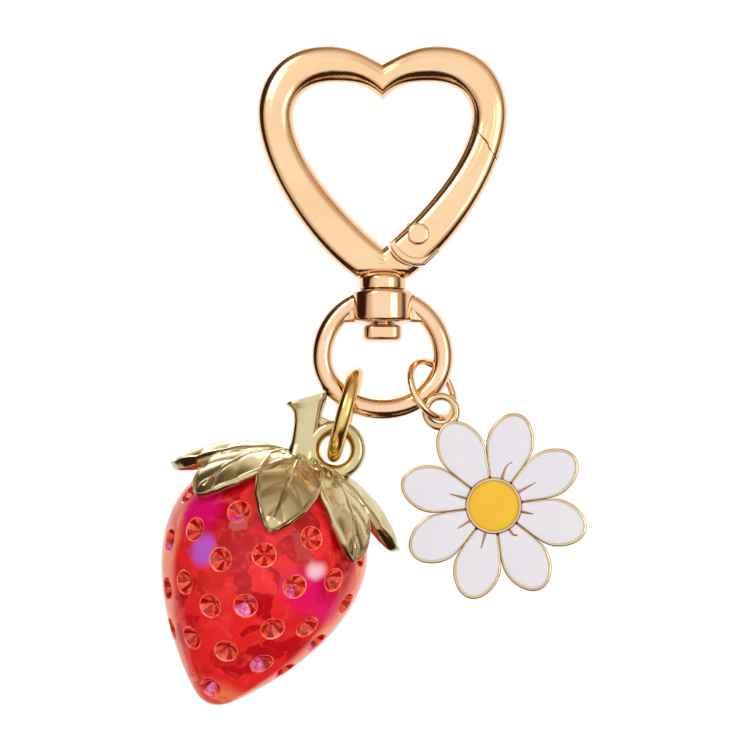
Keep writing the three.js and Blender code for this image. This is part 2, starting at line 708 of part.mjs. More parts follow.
function daisyLink() {
  const ring = addPiece(part, 'daisy_jump_ring',
    weld(wireRing(DAISY_LINK_RADIUS, DAISY_LINK_WIRE, 36, 8)), GOLD);
  ring.position.copy(daisyLinkCentre);
  ring.rotation.set(0, -DAISY_LINK_LEAN, DAISY_LINK_TURN, 'YXZ');
}

daisyLink();
addPiece(daisy, 'daisy_plate', toGeometry(plateSolid()), PALE_GOLD);
for (let i = 0; i < PETAL_COUNT; i += 1) {
  addPiece(daisy, `petal_enamel_${i + 1}`, toGeometry(petalEnamel(i)), WHITE_ENAMEL);
}
addPiece(daisy, 'centre_enamel', centreEnamel(), YELLOW_ENAMEL);

export default part;
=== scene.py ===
"""Looks of the heart clasp keychain: polished gold castings, a clear faceted berry and an enamelled daisy.

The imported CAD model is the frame. Shapes are worked out in millimetres and stored in metres.
"""

import json
import math

import bmesh
import bpy
import numpy as np
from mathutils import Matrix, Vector


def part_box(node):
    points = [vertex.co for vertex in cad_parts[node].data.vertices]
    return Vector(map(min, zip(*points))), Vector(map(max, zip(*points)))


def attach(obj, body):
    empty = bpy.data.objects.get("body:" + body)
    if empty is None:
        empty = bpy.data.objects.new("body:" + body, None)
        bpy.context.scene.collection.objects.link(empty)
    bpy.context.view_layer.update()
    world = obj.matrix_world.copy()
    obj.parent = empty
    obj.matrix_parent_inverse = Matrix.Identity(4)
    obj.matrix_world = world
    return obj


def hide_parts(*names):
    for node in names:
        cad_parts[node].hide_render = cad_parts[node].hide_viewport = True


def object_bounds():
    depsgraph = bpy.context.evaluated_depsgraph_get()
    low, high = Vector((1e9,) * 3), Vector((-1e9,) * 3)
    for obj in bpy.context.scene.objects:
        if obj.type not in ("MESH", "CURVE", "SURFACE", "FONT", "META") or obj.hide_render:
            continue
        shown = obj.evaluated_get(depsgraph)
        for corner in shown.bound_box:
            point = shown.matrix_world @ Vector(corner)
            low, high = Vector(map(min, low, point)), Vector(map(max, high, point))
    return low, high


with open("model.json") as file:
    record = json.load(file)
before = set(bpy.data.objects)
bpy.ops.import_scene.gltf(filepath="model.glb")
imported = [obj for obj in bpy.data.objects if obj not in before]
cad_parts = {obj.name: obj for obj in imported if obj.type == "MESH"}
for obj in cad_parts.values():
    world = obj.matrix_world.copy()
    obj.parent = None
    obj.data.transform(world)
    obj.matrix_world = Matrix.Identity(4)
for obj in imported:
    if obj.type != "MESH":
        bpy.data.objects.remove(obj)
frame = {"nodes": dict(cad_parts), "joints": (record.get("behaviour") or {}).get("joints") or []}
cad_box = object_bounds()

MM = 0.001
TAU = 2 * math.pi
JOINTS = {joint["name"]: joint for joint in frame["joints"]}

# ---- reading the frame


def node_points(node):
    """The CAD node's vertices in millimetres."""
    vertices = frame["nodes"][node].data.vertices
    return np.array([v.co for v in vertices]) / MM


def box_mm(node):
    low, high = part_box(node)
    return np.array(low) / MM, np.array(high) / MM


def joint_point(name):
    return np.array(JOINTS[name]["pos_m"]) / MM


def ring_frame(node):
    """Centre, normal, wire radius and middle radius of a round wire ring."""
    points = node_points(node)
    centre = points.mean(axis=0)
    _, axes = np.linalg.eigh(np.cov((points - centre).T))
    normal = axes[:, 0]
    thick = np.abs((points - centre) @ normal).max()
    outer = np.linalg.norm(points - centre, axis=1).max()
    return centre, normal, thick, outer - thick

# ---- shapes


def bezier(p0, p1, p2, p3, count):
    t = np.linspace(0, 1, count, endpoint=False)[:, None]
    p0, p1, p2, p3 = (np.array(p, float) for p in (p0, p1, p2, p3))
    return (1 - t) ** 3 * p0 + 3 * (1 - t) ** 2 * t * p1 + 3 * (1 - t) * t * t * p2 + t**3 * p3


def grid_faces(rows, columns, close_rows=False, close_columns=True):
    faces = []
    for i in range(rows if close_rows else rows - 1):
        for j in range(columns if close_columns else columns - 1):
            a = i * columns + j
            b = i * columns + (j + 1) % columns
            c = ((i + 1) % rows) * columns + (j + 1) % columns
            d = ((i + 1) % rows) * columns + j
            faces.append((a, b, c, d))
    return faces


class Shell:
    """Vertices and faces of one or more closed surfaces, in millimetres."""

    def __init__(self):
        self.vertices = np.zeros((0, 3))
        self.faces = []

    def add(self, vertices, faces):
        start = len(self.vertices)
        self.vertices = np.vstack([self.vertices, np.asarray(vertices, float)])
        self.faces += [tuple(start + i for i in face) for face in faces]
        return self

    def join(self, other):
        return self.add(other.vertices, other.faces)

    def moved(self, rotation=None, offset=(0, 0, 0)):
        result = Shell()
        turned = self.vertices if rotation is None else self.vertices @ np.array(rotation).T
        return result.add(turned + np.array(offset, float), self.faces)


def turn_z(angle):
    c, s = math.cos(angle), math.sin(angle)
    return [[c, -s, 0], [s, c, 0], [0, 0, 1]]


def squarish(angles, power):
    """How far a rounded square of half width 1 reaches at each angle."""
    return 1 / (np.abs(np.cos(angles)) ** power + np.abs(np.sin(angles)) ** power) ** (1 / power)


def loft(rings, closed=False):
    """A surface through closed rings of points, capped at both ends unless it closes on itself."""
    rings = np.asarray(rings)
    rows, columns = rings.shape[:2]
    faces = grid_faces(rows, columns, close_rows=closed)
    if not closed:
        faces.append(tuple(range(columns))[::-1])
        faces.append(tuple((rows - 1) * columns + j for j in range(columns)))
    return Shell().add(rings.reshape(-1, 3), faces)


def turned(profile, sides=96):
    """A solid turned about Z from (radius, height) pairs that start and end on the axis."""
    angles = np.arange(sides) * TAU / sides
    middle = np.array(profile[1:-1], float)
    ring = np.stack([np.cos(angles), np.sin(angles)], 1)
    rows = [np.column_stack([r * ring, np.full(sides, z)]) for r, z in middle]
    shell = Shell().add(np.vstack(rows), grid_faces(len(rows), sides))
    first, last = len(shell.vertices), len(shell.vertices) + 1
    shell.vertices = np.vstack([shell.vertices, [0, 0, profile[0][1]], [0, 0, profile[-1][1]]])
    base = (len(rows) - 1) * sides
    for j in range(sides):
        shell.faces.append((first, (j + 1) % sides, j))
        shell.faces.append((last, base + j, base + (j + 1) % sides))
    return shell


def rounded(points, radius, steps=6):
    """A profile whose corners are rounded; the ends stay where they are."""
    points = [np.array(p, float) for p in points]
    result = [points[0]]
    for before, corner, after in zip(points, points[1:], points[2:]):
        into = before - corner
        out = after - corner
        reach = min(radius, 0.45 * np.linalg.norm(into), 0.45 * np.linalg.norm(out))
        start = corner + reach * into / np.linalg.norm(into)
        end = corner + reach * out / np.linalg.norm(out)
        for t in np.linspace(0, 1, steps):
            result.append((1 - t) ** 2 * start + 2 * t * (1 - t) * corner + t * t * end)
    result.append(points[-1])
    return result


def wire(path, radius, sides=28, closed=True):
    """A round wire along a path; radius may be one number or one for each point."""
    path = np.asarray(path, float)
    count = len(path)
    radii = np.broadcast_to(radius, count)
    ahead = np.roll(path, -1, 0)
    behind = np.roll(path, 1, 0)
    if not closed:
        ahead[-1] = path[-1]
        behind[0] = path[0]
    along = ahead - behind
    along /= np.linalg.norm(along, axis=1)[:, None]
    side = np.cross(along[0], [0.13, 0.97, 0.21])
    angles = np.arange(sides) * TAU / sides
    rings = []
    for point, forward, r in zip(path, along, radii):
        side = side - forward * (side @ forward)
        side /= np.linalg.norm(side)
        up = np.cross(forward, side)
        rings.append(point + r * (np.cos(angles)[:, None] * side + np.sin(angles)[:, None] * up))
    if closed:
        return loft_closed_wire(rings)
    return loft(rings)


def loft_closed_wire(rings):
    """Closes a wire whose last ring may have turned against its first."""
    first = rings[0]
    gaps = [np.linalg.norm(np.roll(rings[-1], k, 0) - first) for k in range(len(first))]
    shift = int(np.argmin(gaps))
    half = len(first) // 2
    turns = shift if shift <= half else shift - len(first)
    count = len(rings)
    eased = [np.roll(ring, round(turns * i / (count - 1)), 0) for i, ring in enumerate(rings)]
    return loft(eased, closed=True)


def plane_frame(normal):
    normal = np.array(normal, float) / np.linalg.norm(normal)
    across = np.cross(normal, [0.2, 0.9, 0.35])
    across /= np.linalg.norm(across)
    return across, np.cross(normal, across)


def split_ring(centre, normal, radius, wire_radius, seam_toward, seam=0.07, count=150, sides=28):
    """A jump ring: a round wire bent to a circle, with its two ends nearly meeting."""
    across, up = plane_frame(normal)
    half_gap = seam / radius / 2
    seam_at = math.atan2(up @ seam_toward, across @ seam_toward)
    angles = seam_at + np.linspace(half_gap, TAU - half_gap, count)
    path = centre + radius * (np.cos(angles)[:, None] * across + np.sin(angles)[:, None] * up)
    radii = np.full(count, wire_radius)
    radii[0] = radii[-1] = 0.86 * wire_radius
    radii[1] = radii[-2] = 0.97 * wire_radius
    return wire(path, radii, sides, closed=False)


def offset_polygon(points, distance):
    """A polygon in a plane moved outwards by a distance, or by one distance for each point."""
    points = np.asarray(points, float)
    edge = np.roll(points, -1, 0) - points
    edge /= np.linalg.norm(edge, axis=1)[:, None]
    outward = np.stack([edge[:, 1], -edge[:, 0]], 1)
    before = np.roll(outward, 1, 0)
    miter = outward + before
    miter *= (2 / (miter**2).sum(1))[:, None]
    x, y = points.T
    area = (x * np.roll(y, -1) - y * np.roll(x, -1)).sum()
    return points + math.copysign(1, area) * np.broadcast_to(distance, len(points))[:, None] * miter


def upright(flat, y):
    """XZ points set at a depth."""
    return np.insert(flat, 1, y, axis=1)


def slab(outline, layers):
    """A solid from an XZ outline; each layer is (y, how far the outline is moved outwards)."""
    return loft([upright(offset_polygon(outline, distance), y) for y, distance in layers])


def circle_xz(centre, radius, count=72, start=0, stop=TAU):
    angles = np.linspace(start, stop, count, endpoint=stop - start < TAU - 1e-6)
    return np.column_stack([centre[0] + radius * np.cos(angles), centre[1] + radius * np.sin(angles)])

# ---- making pieces


def make_object(name, shell):
    mesh = bpy.data.meshes.new(name)
    mesh.from_pydata((shell.vertices * MM).tolist(), [], shell.faces)
    mesh.validate()
    made = bpy.data.objects.new(name, mesh)
    bpy.context.scene.collection.objects.link(made)
    outward(made)
    return made


def outward(piece):
    """Turns every face of each closed surface outwards."""
    work = bmesh.new()
    work.from_mesh(piece.data)
    bmesh.ops.recalc_face_normals(work, faces=work.faces)
    work.to_mesh(piece.data)
    work.free()


def boolean(piece, shell, operation, crossing=False, materials=(), tints=()):
    """Joins or cuts a piece; crossing allows for a shell that runs through itself.

    A cut with materials leaves them in the piece: tints says which one each face of the shell leaves.
    """
    cutter = make_object("cutter", shell)
    modifier = piece.modifiers.new("cut", "BOOLEAN")
    modifier.operation = operation
    modifier.object = cutter
    modifier.solver = "EXACT"
    modifier.use_self = crossing
    if materials:
        for material in materials:
            cutter.data.materials.append(material)
        cutter.data.polygons.foreach_set("material_index", tints)
        modifier.material_mode = "TRANSFER"
    depsgraph = bpy.context.evaluated_depsgraph_get()
    cut = bpy.data.meshes.new_from_object(piece.evaluated_get(depsgraph))
    piece.modifiers.clear()
    piece.data = cut
    bpy.data.objects.remove(cutter)


def finish_piece(piece, body, material, nodes, sharp=38):
    """Smooth shading with crisp edges, a material unless it has its own, and a place on its body."""
    if material:
        piece.data.materials.clear()
        piece.data.materials.append(material)
    for polygon in piece.data.polygons:
        polygon.use_smooth = True
    piece.data.set_sharp_from_angle(angle=math.radians(sharp))
    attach(piece, body)
    if nodes:
        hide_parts(*nodes)
    return piece

# ---- materials


class Shading:
    """Adds nodes to a shader tree."""

    def __init__(self, tree):
        self.tree = tree

    def add(self, kind, **settings):
        node = self.tree.nodes.new(kind)
        for key, value in settings.items():
            setattr(node, key, value)
        return node

    def put(self, value, socket):
        if isinstance(value, bpy.types.NodeSocket):
            self.tree.links.new(value, socket)
        else:
            socket.default_value = value

    def math(self, operation, *values, clamp=False):
        node = self.add("ShaderNodeMath", operation=operation, use_clamp=clamp)
        for value, socket in zip(values, node.inputs):
            self.put(value, socket)
        return node.outputs[0]

    def set(self, node, **values):
        """Sets or links a node's named sockets."""
        for socket, value in values.items():
            self.put(value, node.inputs[socket.replace("_", " ")])
        return node

    def spread(self, value, low, high, to_low=0.0, to_high=1.0):
        node = self.add("ShaderNodeMapRange", interpolation_type="SMOOTHSTEP")
        for item, socket in zip((value, low, high, to_low, to_high), node.inputs):
            self.put(item, socket)
        return node.outputs[0]

    def mix(self, share, first, second):
        node = self.add("ShaderNodeMix", data_type="RGBA")
        for value, index in ((share, 0), (first, 6), (second, 7)):
            self.put(value, node.inputs[index])
        return node.outputs[2]

    def ramp(self, value, stops):
        node = self.add("ShaderNodeValToRGB")
        self.put(value, node.inputs[0])
        elements = node.color_ramp.elements
        while len(elements) < len(stops):
            elements.new(0.5)
        for element, (at, shade) in zip(elements, stops):
            element.position = at
            element.color = (*shade, 1)
        return node.outputs[0]


class Surface(Shading):
    """Builds one procedural material on a Principled shader."""

    def __init__(self, name, **values):
        self.material = bpy.data.materials.new(name)
        self.material.use_nodes = True
        super().__init__(self.material.node_tree)
        self.shader = next(n for n in self.tree.nodes if n.type == "BSDF_PRINCIPLED")
        self.set(self.shader, **values)
        self.coordinates = self.add("ShaderNodeTexCoord").outputs["Object"]

    def noise(self, scale, detail=3.0, roughness=0.5, vector=None, distortion=0.0):
        node = self.set(self.add("ShaderNodeTexNoise"), Vector=vector or self.coordinates, Scale=scale,
                        Detail=detail, Roughness=roughness, Distortion=distortion)
        return node.outputs["Fac"]

    def stretched(self, scale, rotation):
        node = self.set(self.add("ShaderNodeMapping"), Vector=self.coordinates, Scale=scale,
                        Rotation=rotation)
        return node.outputs["Vector"]

    def bump(self, height, strength, distance):
        node = self.set(self.add("ShaderNodeBump"), Height=height, Strength=strength, Distance=distance)
        return node.outputs["Normal"]

    def link(self, value, socket):
        self.put(value, self.shader.inputs[socket])


def colour(red, green, blue):
    return (red, green, blue, 1.0)


def polished_metal(name, bright, deep, roughness, waviness=0.35, scratches=0.12):
    """Plated and buffed metal: slow tone changes, buffing haze, fine hairline marks, and painted shade that
    darkens its seams and crevices.
    """
    s = Surface(name, Metallic=1.0, Roughness=roughness)
    tone = s.noise(160, detail=2)
    plated = s.mix(s.spread(tone, 0.3, 0.7), colour(*deep), colour(*bright))
    # painted shade: ambient occlusion darkens the colour in seams and crevices, where shade falls
    seam = s.add("ShaderNodeAmbientOcclusion", samples=6)
    seam.inputs["Distance"].default_value = 0.0005
    painted_seam_shade = [0.12 * deep[0], 0.07 * deep[1], 0.05 * deep[2]]
    s.link(s.mix(s.spread(seam.outputs["AO"], 0.25, 0.7), colour(*painted_seam_shade), plated), "Base Color")
    haze = s.noise(420, detail=5, roughness=0.65)
    s.link(s.spread(haze, 0.25, 0.8, 0.7 * roughness, 1.45 * roughness), "Roughness")
    hairs = s.noise(900, detail=4, vector=s.stretched((1, 1, 14), (0.5, 0.9, 0.3)))
    wave = s.noise(110, detail=1)
    height = s.math("ADD", s.math("MULTIPLY", wave, waviness), s.math("MULTIPLY", hairs, scratches))
    s.link(s.bump(height, 0.25, 0.00025), "Normal")
    return s.material


def enamel(name, main, shade, flow=0.5):
    """Poured epoxy enamel: a glossy skin with a faint flow of tone."""
    s = Surface(name, Roughness=0.22, Specular_IOR_Level=0.2, Coat_Weight=0.7, Coat_Roughness=0.03)
    cloud = s.noise(140, detail=3, distortion=0.6)
    s.link(s.mix(s.spread(cloud, 0.3, 0.75), colour(*main), colour(*shade)), "Base Color")
    s.link(s.spread(s.noise(600, detail=4), 0.3, 0.7, 0.18, 0.28), "Roughness")
    s.link(s.bump(s.noise(260, detail=2), 0.12 * flow, 0.0002), "Normal")
    return s.material


def vector_math(s, operation, *values):
    node = s.add("ShaderNodeVectorMath", operation=operation)
    for value, socket in zip(values, node.inputs):
        s.put(value, socket)
    return node


def berry_frame_vector(s, origin, tilt):
    """Object coordinates turned into the berry's own frame, in millimetres."""
    shifted = vector_math(s, "SUBTRACT", s.coordinates, Vector(origin) * MM)
    turn = s.add("ShaderNodeVectorRotate", rotation_type="Y_AXIS")
    s.set(turn, Vector=shifted.outputs[0], Angle=-tilt)
    grown = vector_math(s, "SCALE", turn.outputs[0])
    grown.inputs["Scale"].default_value = 1 / MM
    return grown.outputs[0]


def spot(s, vector, centre, radius, softness):
    """1 inside a soft-edged, wavy ball about a point of the berry's frame, 0 outside."""
    wave = 2.5
    wobble = s.set(s.add("ShaderNodeTexNoise"), Vector=vector, Scale=0.22, Detail=2)
    centred = vector_math(s, "SUBTRACT", wobble.outputs["Color"], (0.5, 0.5, 0.5))
    waved = vector_math(s, "MULTIPLY_ADD", centred.outputs[0], (wave, wave, wave), vector)
    away = vector_math(s, "DISTANCE", waved.outputs[0], centre)
    return s.spread(away.outputs["Value"], radius - softness, radius + softness, 1.0, 0.0)

# ---- materials of the keychain

rose_gold = polished_metal("rose_gold", (1.0, 0.70, 0.42), (0.97, 0.64, 0.36), 0.13)
ring_gold = polished_metal("ring_gold", (1.0, 0.70, 0.45), (0.96, 0.62, 0.38), 0.10)
yellow_gold = polished_metal("yellow_gold", (0.95, 0.66, 0.24), (0.86, 0.55, 0.17), 0.15)
pale_gold = polished_metal("pale_gold", (0.72, 0.63, 0.36), (0.60, 0.50, 0.26), 0.19, waviness=0.8)
rim_gold = polished_metal("rim_gold", (0.86, 0.66, 0.38), (0.74, 0.52, 0.28), 0.16)
spring_steel = polished_metal("spring_steel", (0.60, 0.59, 0.57), (0.45, 0.44, 0.42), 0.3)
white_enamel = enamel("white_enamel", (0.87, 0.89, 1.0), (0.90, 0.91, 1.0))
yellow_enamel = enamel("yellow_enamel", (1.0, 0.64, 0.015), (1.0, 0.57, 0.010))
stamen_bronze = polished_metal("stamen_bronze", (0.62, 0.38, 0.14), (0.45, 0.26, 0.09), 0.2)

# ---- heart clasp

heart_low, heart_high = box_mm("heart_frame")
HEART_HALF_WIDTH = heart_high[0]
HEART_HALF_THICK = box_mm("gate")[1][1]
LOBE_TOP_Z = heart_high[2]
NECK_BOTTOM_Z = heart_low[2]
PIN = joint_point("gate_hinge")[[0, 2]]
LOBE_TOP_X = 7.06
WIDEST_Z = -1.8
OUTER_NOTCH_Z = 4.64
BAND_AT_SIDE = 4.5
BAND_AT_TOP = 4.64
INNER_POINT_Z = -19.3
SHOULDER = (3.3, -23.3)
INNER_EDGE = 1.88
OUTER_EDGE = 1.55
FACE_CROWN = 0.10
RUNNING_GAP = 0.3
STEPS = 46


def half_outline(top, widest, notch_z, foot, foot_pull, notch_pull):
    x, z = top
    side_x, side_z = widest
    foot_x, foot_z = foot
    (ax, az), bx = notch_pull
    return np.vstack([
        bezier((0, notch_z), (ax, notch_z + az), (bx, z), (x, z), STEPS),
        bezier((x, z), (x + 0.8 * (side_x - x), z), (side_x, side_z + 0.36 * (z - side_z)), widest, STEPS),
        bezier(widest, (side_x, side_z - foot_pull[0]), (foot_x + foot_pull[1], foot_z + foot_pull[2]),
               foot, 2 * STEPS),
    ])


def along_length(points, count):
    """Points spaced evenly along a line."""
    step = np.linalg.norm(np.diff(points, axis=0), axis=1)
    at = np.concatenate([[0], np.cumsum(step)])
    wanted = np.linspace(0, at[-1], count)
    return np.stack([np.interp(wanted, at, points[:, k]) for k in range(2)], 1)


def heart_rails():
    """Matching points on the outer and the inner outline, from the notch to the foot."""
    outer = half_outline((LOBE_TOP_X, LOBE_TOP_Z), (HEART_HALF_WIDTH, WIDEST_Z), OUTER_NOTCH_Z,
                         SHOULDER, (7.3, 5.98, 3.92), ((2, 1.11), 4.2))
    inner_side = HEART_HALF_WIDTH - BAND_AT_SIDE
    inner = half_outline((LOBE_TOP_X - 0.92, LOBE_TOP_Z - BAND_AT_TOP), (inner_side, WIDEST_Z - 0.3), 0,
                         (0, INNER_POINT_Z), (5.71, 4.46, 3.76), ((1.8, 1.9), 3.1))
    upper = 2 * STEPS
    outer_lower = np.vstack([outer[upper:], [SHOULDER], [(0, SHOULDER[1])]])
    inner_lower = np.vstack([inner[upper:], [(0, INNER_POINT_Z)]])
    outer_all = np.vstack([outer[:upper], along_length(outer_lower, 2 * STEPS)])
    inner_all = np.vstack([inner[:upper], along_length(inner_lower, 2 * STEPS)])
    return outer_all, inner_all


def band_section(width):
    """The band's section: (share of the way from the inner to the outer edge, y) all round."""
    half = HEART_HALF_THICK
    points = []
    for t in np.linspace(0, 90, 9):
        a = math.radians(t)
        points.append((INNER_EDGE * (1 - math.cos(a)), half - INNER_EDGE * (1 - math.sin(a))))
    for t in np.linspace(0, 1, 9)[1:-1]:
        across = INNER_EDGE + t * (width - INNER_EDGE - OUTER_EDGE)
        points.append((across, half + FACE_CROWN * math.sin(math.pi * t)))
    for t in np.linspace(90, 0, 7):
        a = math.radians(t)
        points.append((width - OUTER_EDGE * (1 - math.cos(a)), half - OUTER_EDGE * (1 - math.sin(a))))
    lower = [(s, -y) for s, y in points[::-1]]
    return np.array(points + [(width, 0)] + lower + [(0, 0)])


def heart_shell():
    outer, inner = heart_rails()
    right = []
    for o, i in zip(outer, inner):
        width = np.linalg.norm(o - i)
        section = band_section(width)
        right.append(upright(i + np.outer(section[:, 0] / width, o - i), section[:, 1]))
    left = [ring * [-1, 1, 1] for ring in right[-2:0:-1]]
    return loft(right + left, closed=True)


NOSE_INNER = np.array([11.93, -4.13])
NOSE_OUTER = np.array([14.64, -7.48])
GATE_END_RADIUS = 3.8
SOCKET_GAP = 0.38
SOCKET_CHAMFER = 0.28
GATE_END_STEP = 0.75
GATE_LEDGE = 1.4
NOSE_GAP = 0.12
NOSE_CHAMFER = 0.12
TONGUE_OUT = 0.45
TONGUE_HALF_THICK = 0.6
TONGUE_ROOM = 0.15
CUT_DEPTH = 6.0
arm = (NOSE_INNER + NOSE_OUTER) / 2 - PIN
arm /= np.linalg.norm(arm)
arm_angle = math.atan2(arm[1], arm[0])
arm_side = np.array([arm[1], -arm[0]])


def from_pin(along, across):
    return PIN + along * arm + across * arm_side


def blade(gap):
    """Outline of what lies beyond the pin, out past the nose, as an XZ polygon."""
    line = NOSE_OUTER - NOSE_INNER
    line /= np.linalg.norm(line)
    up = np.array([-line[1], line[0]]) * gap
    step = 0.62 * (NOSE_OUTER - NOSE_INNER)
    notch = 0.22 * np.array([line[1], -line[0]])
    return np.array([
        from_pin(0, -GATE_END_RADIUS), from_pin(0, 6.0), NOSE_OUTER + 6 * line + up + notch,
        NOSE_INNER + step + 0.25 * line + up + notch, NOSE_INNER + step + up, NOSE_INNER - 3 * line + up,
    ])


def chamfered(outline, chamfer):
    """A deep slab whose edge opens out by the chamfer at both faces, or draws in if it is negative."""
    face = HEART_HALF_THICK + FACE_CROWN
    inside = face - abs(chamfer)
    return slab(outline, [(-CUT_DEPTH, chamfer), (-face, chamfer), (-inside, 0),
                          (inside, 0), (face, chamfer), (CUT_DEPTH, chamfer)])


def gate_end():
    """The gate's round end: smaller at both faces, with a ledge round its middle layer."""
    small, ledge, edge = -GATE_END_STEP, GATE_LEDGE, 0.08
    return slab(circle_xz(PIN, GATE_END_RADIUS, 96),
                [(-CUT_DEPTH, small), (-ledge, small), (-ledge, -edge), (-ledge + edge, 0),
                 (ledge - edge, 0), (ledge, -edge), (ledge, small), (CUT_DEPTH, small)])


def tongue(out, half_thick):
    """A thin middle layer of the gate that reaches across the gap at the nose."""
    return slab(blade(out), [(-half_thick, 0), (half_thick, 0)])


TANG_THICK = 1.3
TANG_RADIUS = 1.6
TANG_FLAT = 1.2
PIN_RADIUS = 0.75
PIN_HEAD_RADIUS = box_mm("gate_pin")[1][0] - PIN[0]
PIN_HEAD_OUT = box_mm("gate_pin")[1][1]
NECK_RADIUS = 3.0
NECK_LAP = 0.2
POST_RADIUS = 1.3


def neck_shell():
    top = SHOULDER[1] + 0.5
    bottom = NECK_BOTTOM_Z - NECK_LAP
    profile = [(0, top), (2.5, top), (NECK_RADIUS, SHOULDER[1]), (NECK_RADIUS, bottom), (0, bottom)]
    return turned(rounded(profile, 0.35), 96)


def tang_shell():
    flat = math.acos(TANG_FLAT / TANG_RADIUS)
    round_end = circle_xz(PIN, TANG_RADIUS, 40, arm_angle + flat, arm_angle - flat + TAU)
    root = np.array([from_pin(0, -TANG_RADIUS), from_pin(0, TANG_RADIUS), from_pin(-5.2, TANG_RADIUS),
                     from_pin(-5.2, -TANG_RADIUS)])
    half = TANG_THICK / 2
    layers = [(-half, -0.08), (-half + 0.08, 0), (half - 0.08, 0), (half, -0.08)]
    return slab(round_end, layers), slab(root, [(-half, 0), (half, 0)])


def build_heart_frame():
    piece = make_object("clasp_heart", heart_shell())
    boolean(piece, chamfered(blade(NOSE_GAP), NOSE_CHAMFER), "DIFFERENCE")
    boolean(piece, tongue(TONGUE_OUT + TONGUE_ROOM, TONGUE_HALF_THICK + TONGUE_ROOM), "DIFFERENCE")
    boolean(piece, neck_shell(), "UNION")
    socket = circle_xz(PIN, GATE_END_RADIUS + SOCKET_GAP, 96)
    boolean(piece, chamfered(socket, SOCKET_CHAMFER), "DIFFERENCE")
    for shell in tang_shell():
        boolean(piece, shell, "UNION")
    finish_piece(piece, "clasp", rose_gold, ["heart_frame"])


def build_gate():
    piece = make_object("clasp_gate", heart_shell())
    keep = make_object("keep", chamfered(blade(0), -NOSE_CHAMFER))
    boolean(keep, gate_end(), "UNION")
    boolean(keep, tongue(TONGUE_OUT, TONGUE_HALF_THICK), "UNION")
    keep_shell = Shell().add([v.co / MM for v in keep.data.vertices],
                             [tuple(p.vertices) for p in keep.data.polygons])
    bpy.data.objects.remove(keep)
    boolean(piece, keep_shell, "INTERSECT")
    slot = TANG_THICK / 2 + RUNNING_GAP
    behind = arm_angle + math.pi
    sweep = circle_xz(PIN, GATE_END_RADIUS + 1, 40, behind - math.pi / 2, behind + math.pi / 2)
    boolean(piece, slab(sweep, [(-slot, 0), (slot, 0)]), "DIFFERENCE")
    boolean(piece, slab(circle_xz(PIN, TANG_RADIUS + RUNNING_GAP), [(-slot, 0), (slot, 0)]), "DIFFERENCE")
    finish_piece(piece, "gate", rose_gold, ["gate"])


def build_pin():
    """A domed rivet through the gate, its two heads proud of the faces."""
    rim = HEART_HALF_THICK + FACE_CROWN + 0.05
    top = PIN_HEAD_OUT + 0.1
    dome = [(PIN_HEAD_RADIUS * math.sin(a), rim + (top - rim) * (0.45 + 0.55 * math.cos(a)))
            for a in np.linspace(0, math.pi / 2, 9)]
    half = dome + [(PIN_HEAD_RADIUS, rim + 0.08), (0.93 * PIN_HEAD_RADIUS, rim), (PIN_RADIUS, rim)]
    profile = half + [(r, -z) for r, z in half[::-1]]
    rivet = turned(profile, 72).moved([[1, 0, 0], [0, 0, 1], [0, 1, 0]], (PIN[0], 0, PIN[1]))
    piece = make_object("clasp_gate_pin", rivet)
    finish_piece(piece, "clasp", rose_gold, ["gate_pin"], sharp=45)


build_heart_frame()
build_gate()
build_pin()
for hidden in ("gate_spring", "gate_plunger"):
    node = frame["nodes"][hidden]
    node.data.materials.clear()
    node.data.materials.append(spring_steel)

# ---- swivel

ring_low, ring_high = box_mm("swivel_ring")
RING_WIRE = 1.3
RING_HALF_WIDTH = ring_high[0] - RING_WIRE
RING_CENTRE_Z = -33.54
RING_DROP = RING_CENTRE_Z - RING_WIRE - ring_low[2]
BOSS_RADIUS = ring_high[1]
BOSS_TOP = NECK_BOTTOM_Z - RUNNING_GAP
BOSS_BOTTOM = BOSS_TOP - 4.15
LUG_HALF_WIDTH = 4.75


def ring_path():
    """The wire's line: from one side of the boss round below and up to the other side."""
    start = math.acos(-(BOSS_RADIUS - 0.9) / RING_HALF_WIDTH)
    angles = np.linspace(start, 3 * math.pi - start, 190)
    height = np.where(np.sin(angles) > 0, RING_HALF_WIDTH, RING_DROP)
    x = RING_HALF_WIDTH * np.cos(angles)
    return upright(np.column_stack([x, RING_CENTRE_Z + height * np.sin(angles)]), 0)


def rounded_block(half_x, half_y, low_z, high_z, edge, corner=0.8, steps=6):
    """A block with rounded upright corners and rounded top and bottom edges."""
    corners = []
    for quarter, (sx, sy) in enumerate([(1, 1), (-1, 1), (-1, -1), (1, -1)]):
        for t in np.linspace(0, math.pi / 2, steps):
            a = t + quarter * math.pi / 2
            corners.append((sx * (half_x - corner) + corner * math.cos(a),
                            sy * (half_y - corner) + corner * math.sin(a)))
    flat = np.array(corners)
    rings = []
    for up in (False, True):
        for t in np.linspace(0, math.pi / 2, 5):
            inset = edge * (1 - math.sin(t)) if not up else edge * (1 - math.cos(t))
            lift = edge * (1 - math.cos(t)) if not up else edge * math.sin(t)
            z = low_z + lift if not up else high_z - edge + lift
            moved = offset_polygon(flat, -inset)
            rings.append(np.column_stack([moved, np.full(len(moved), z)]))
    return loft(rings)


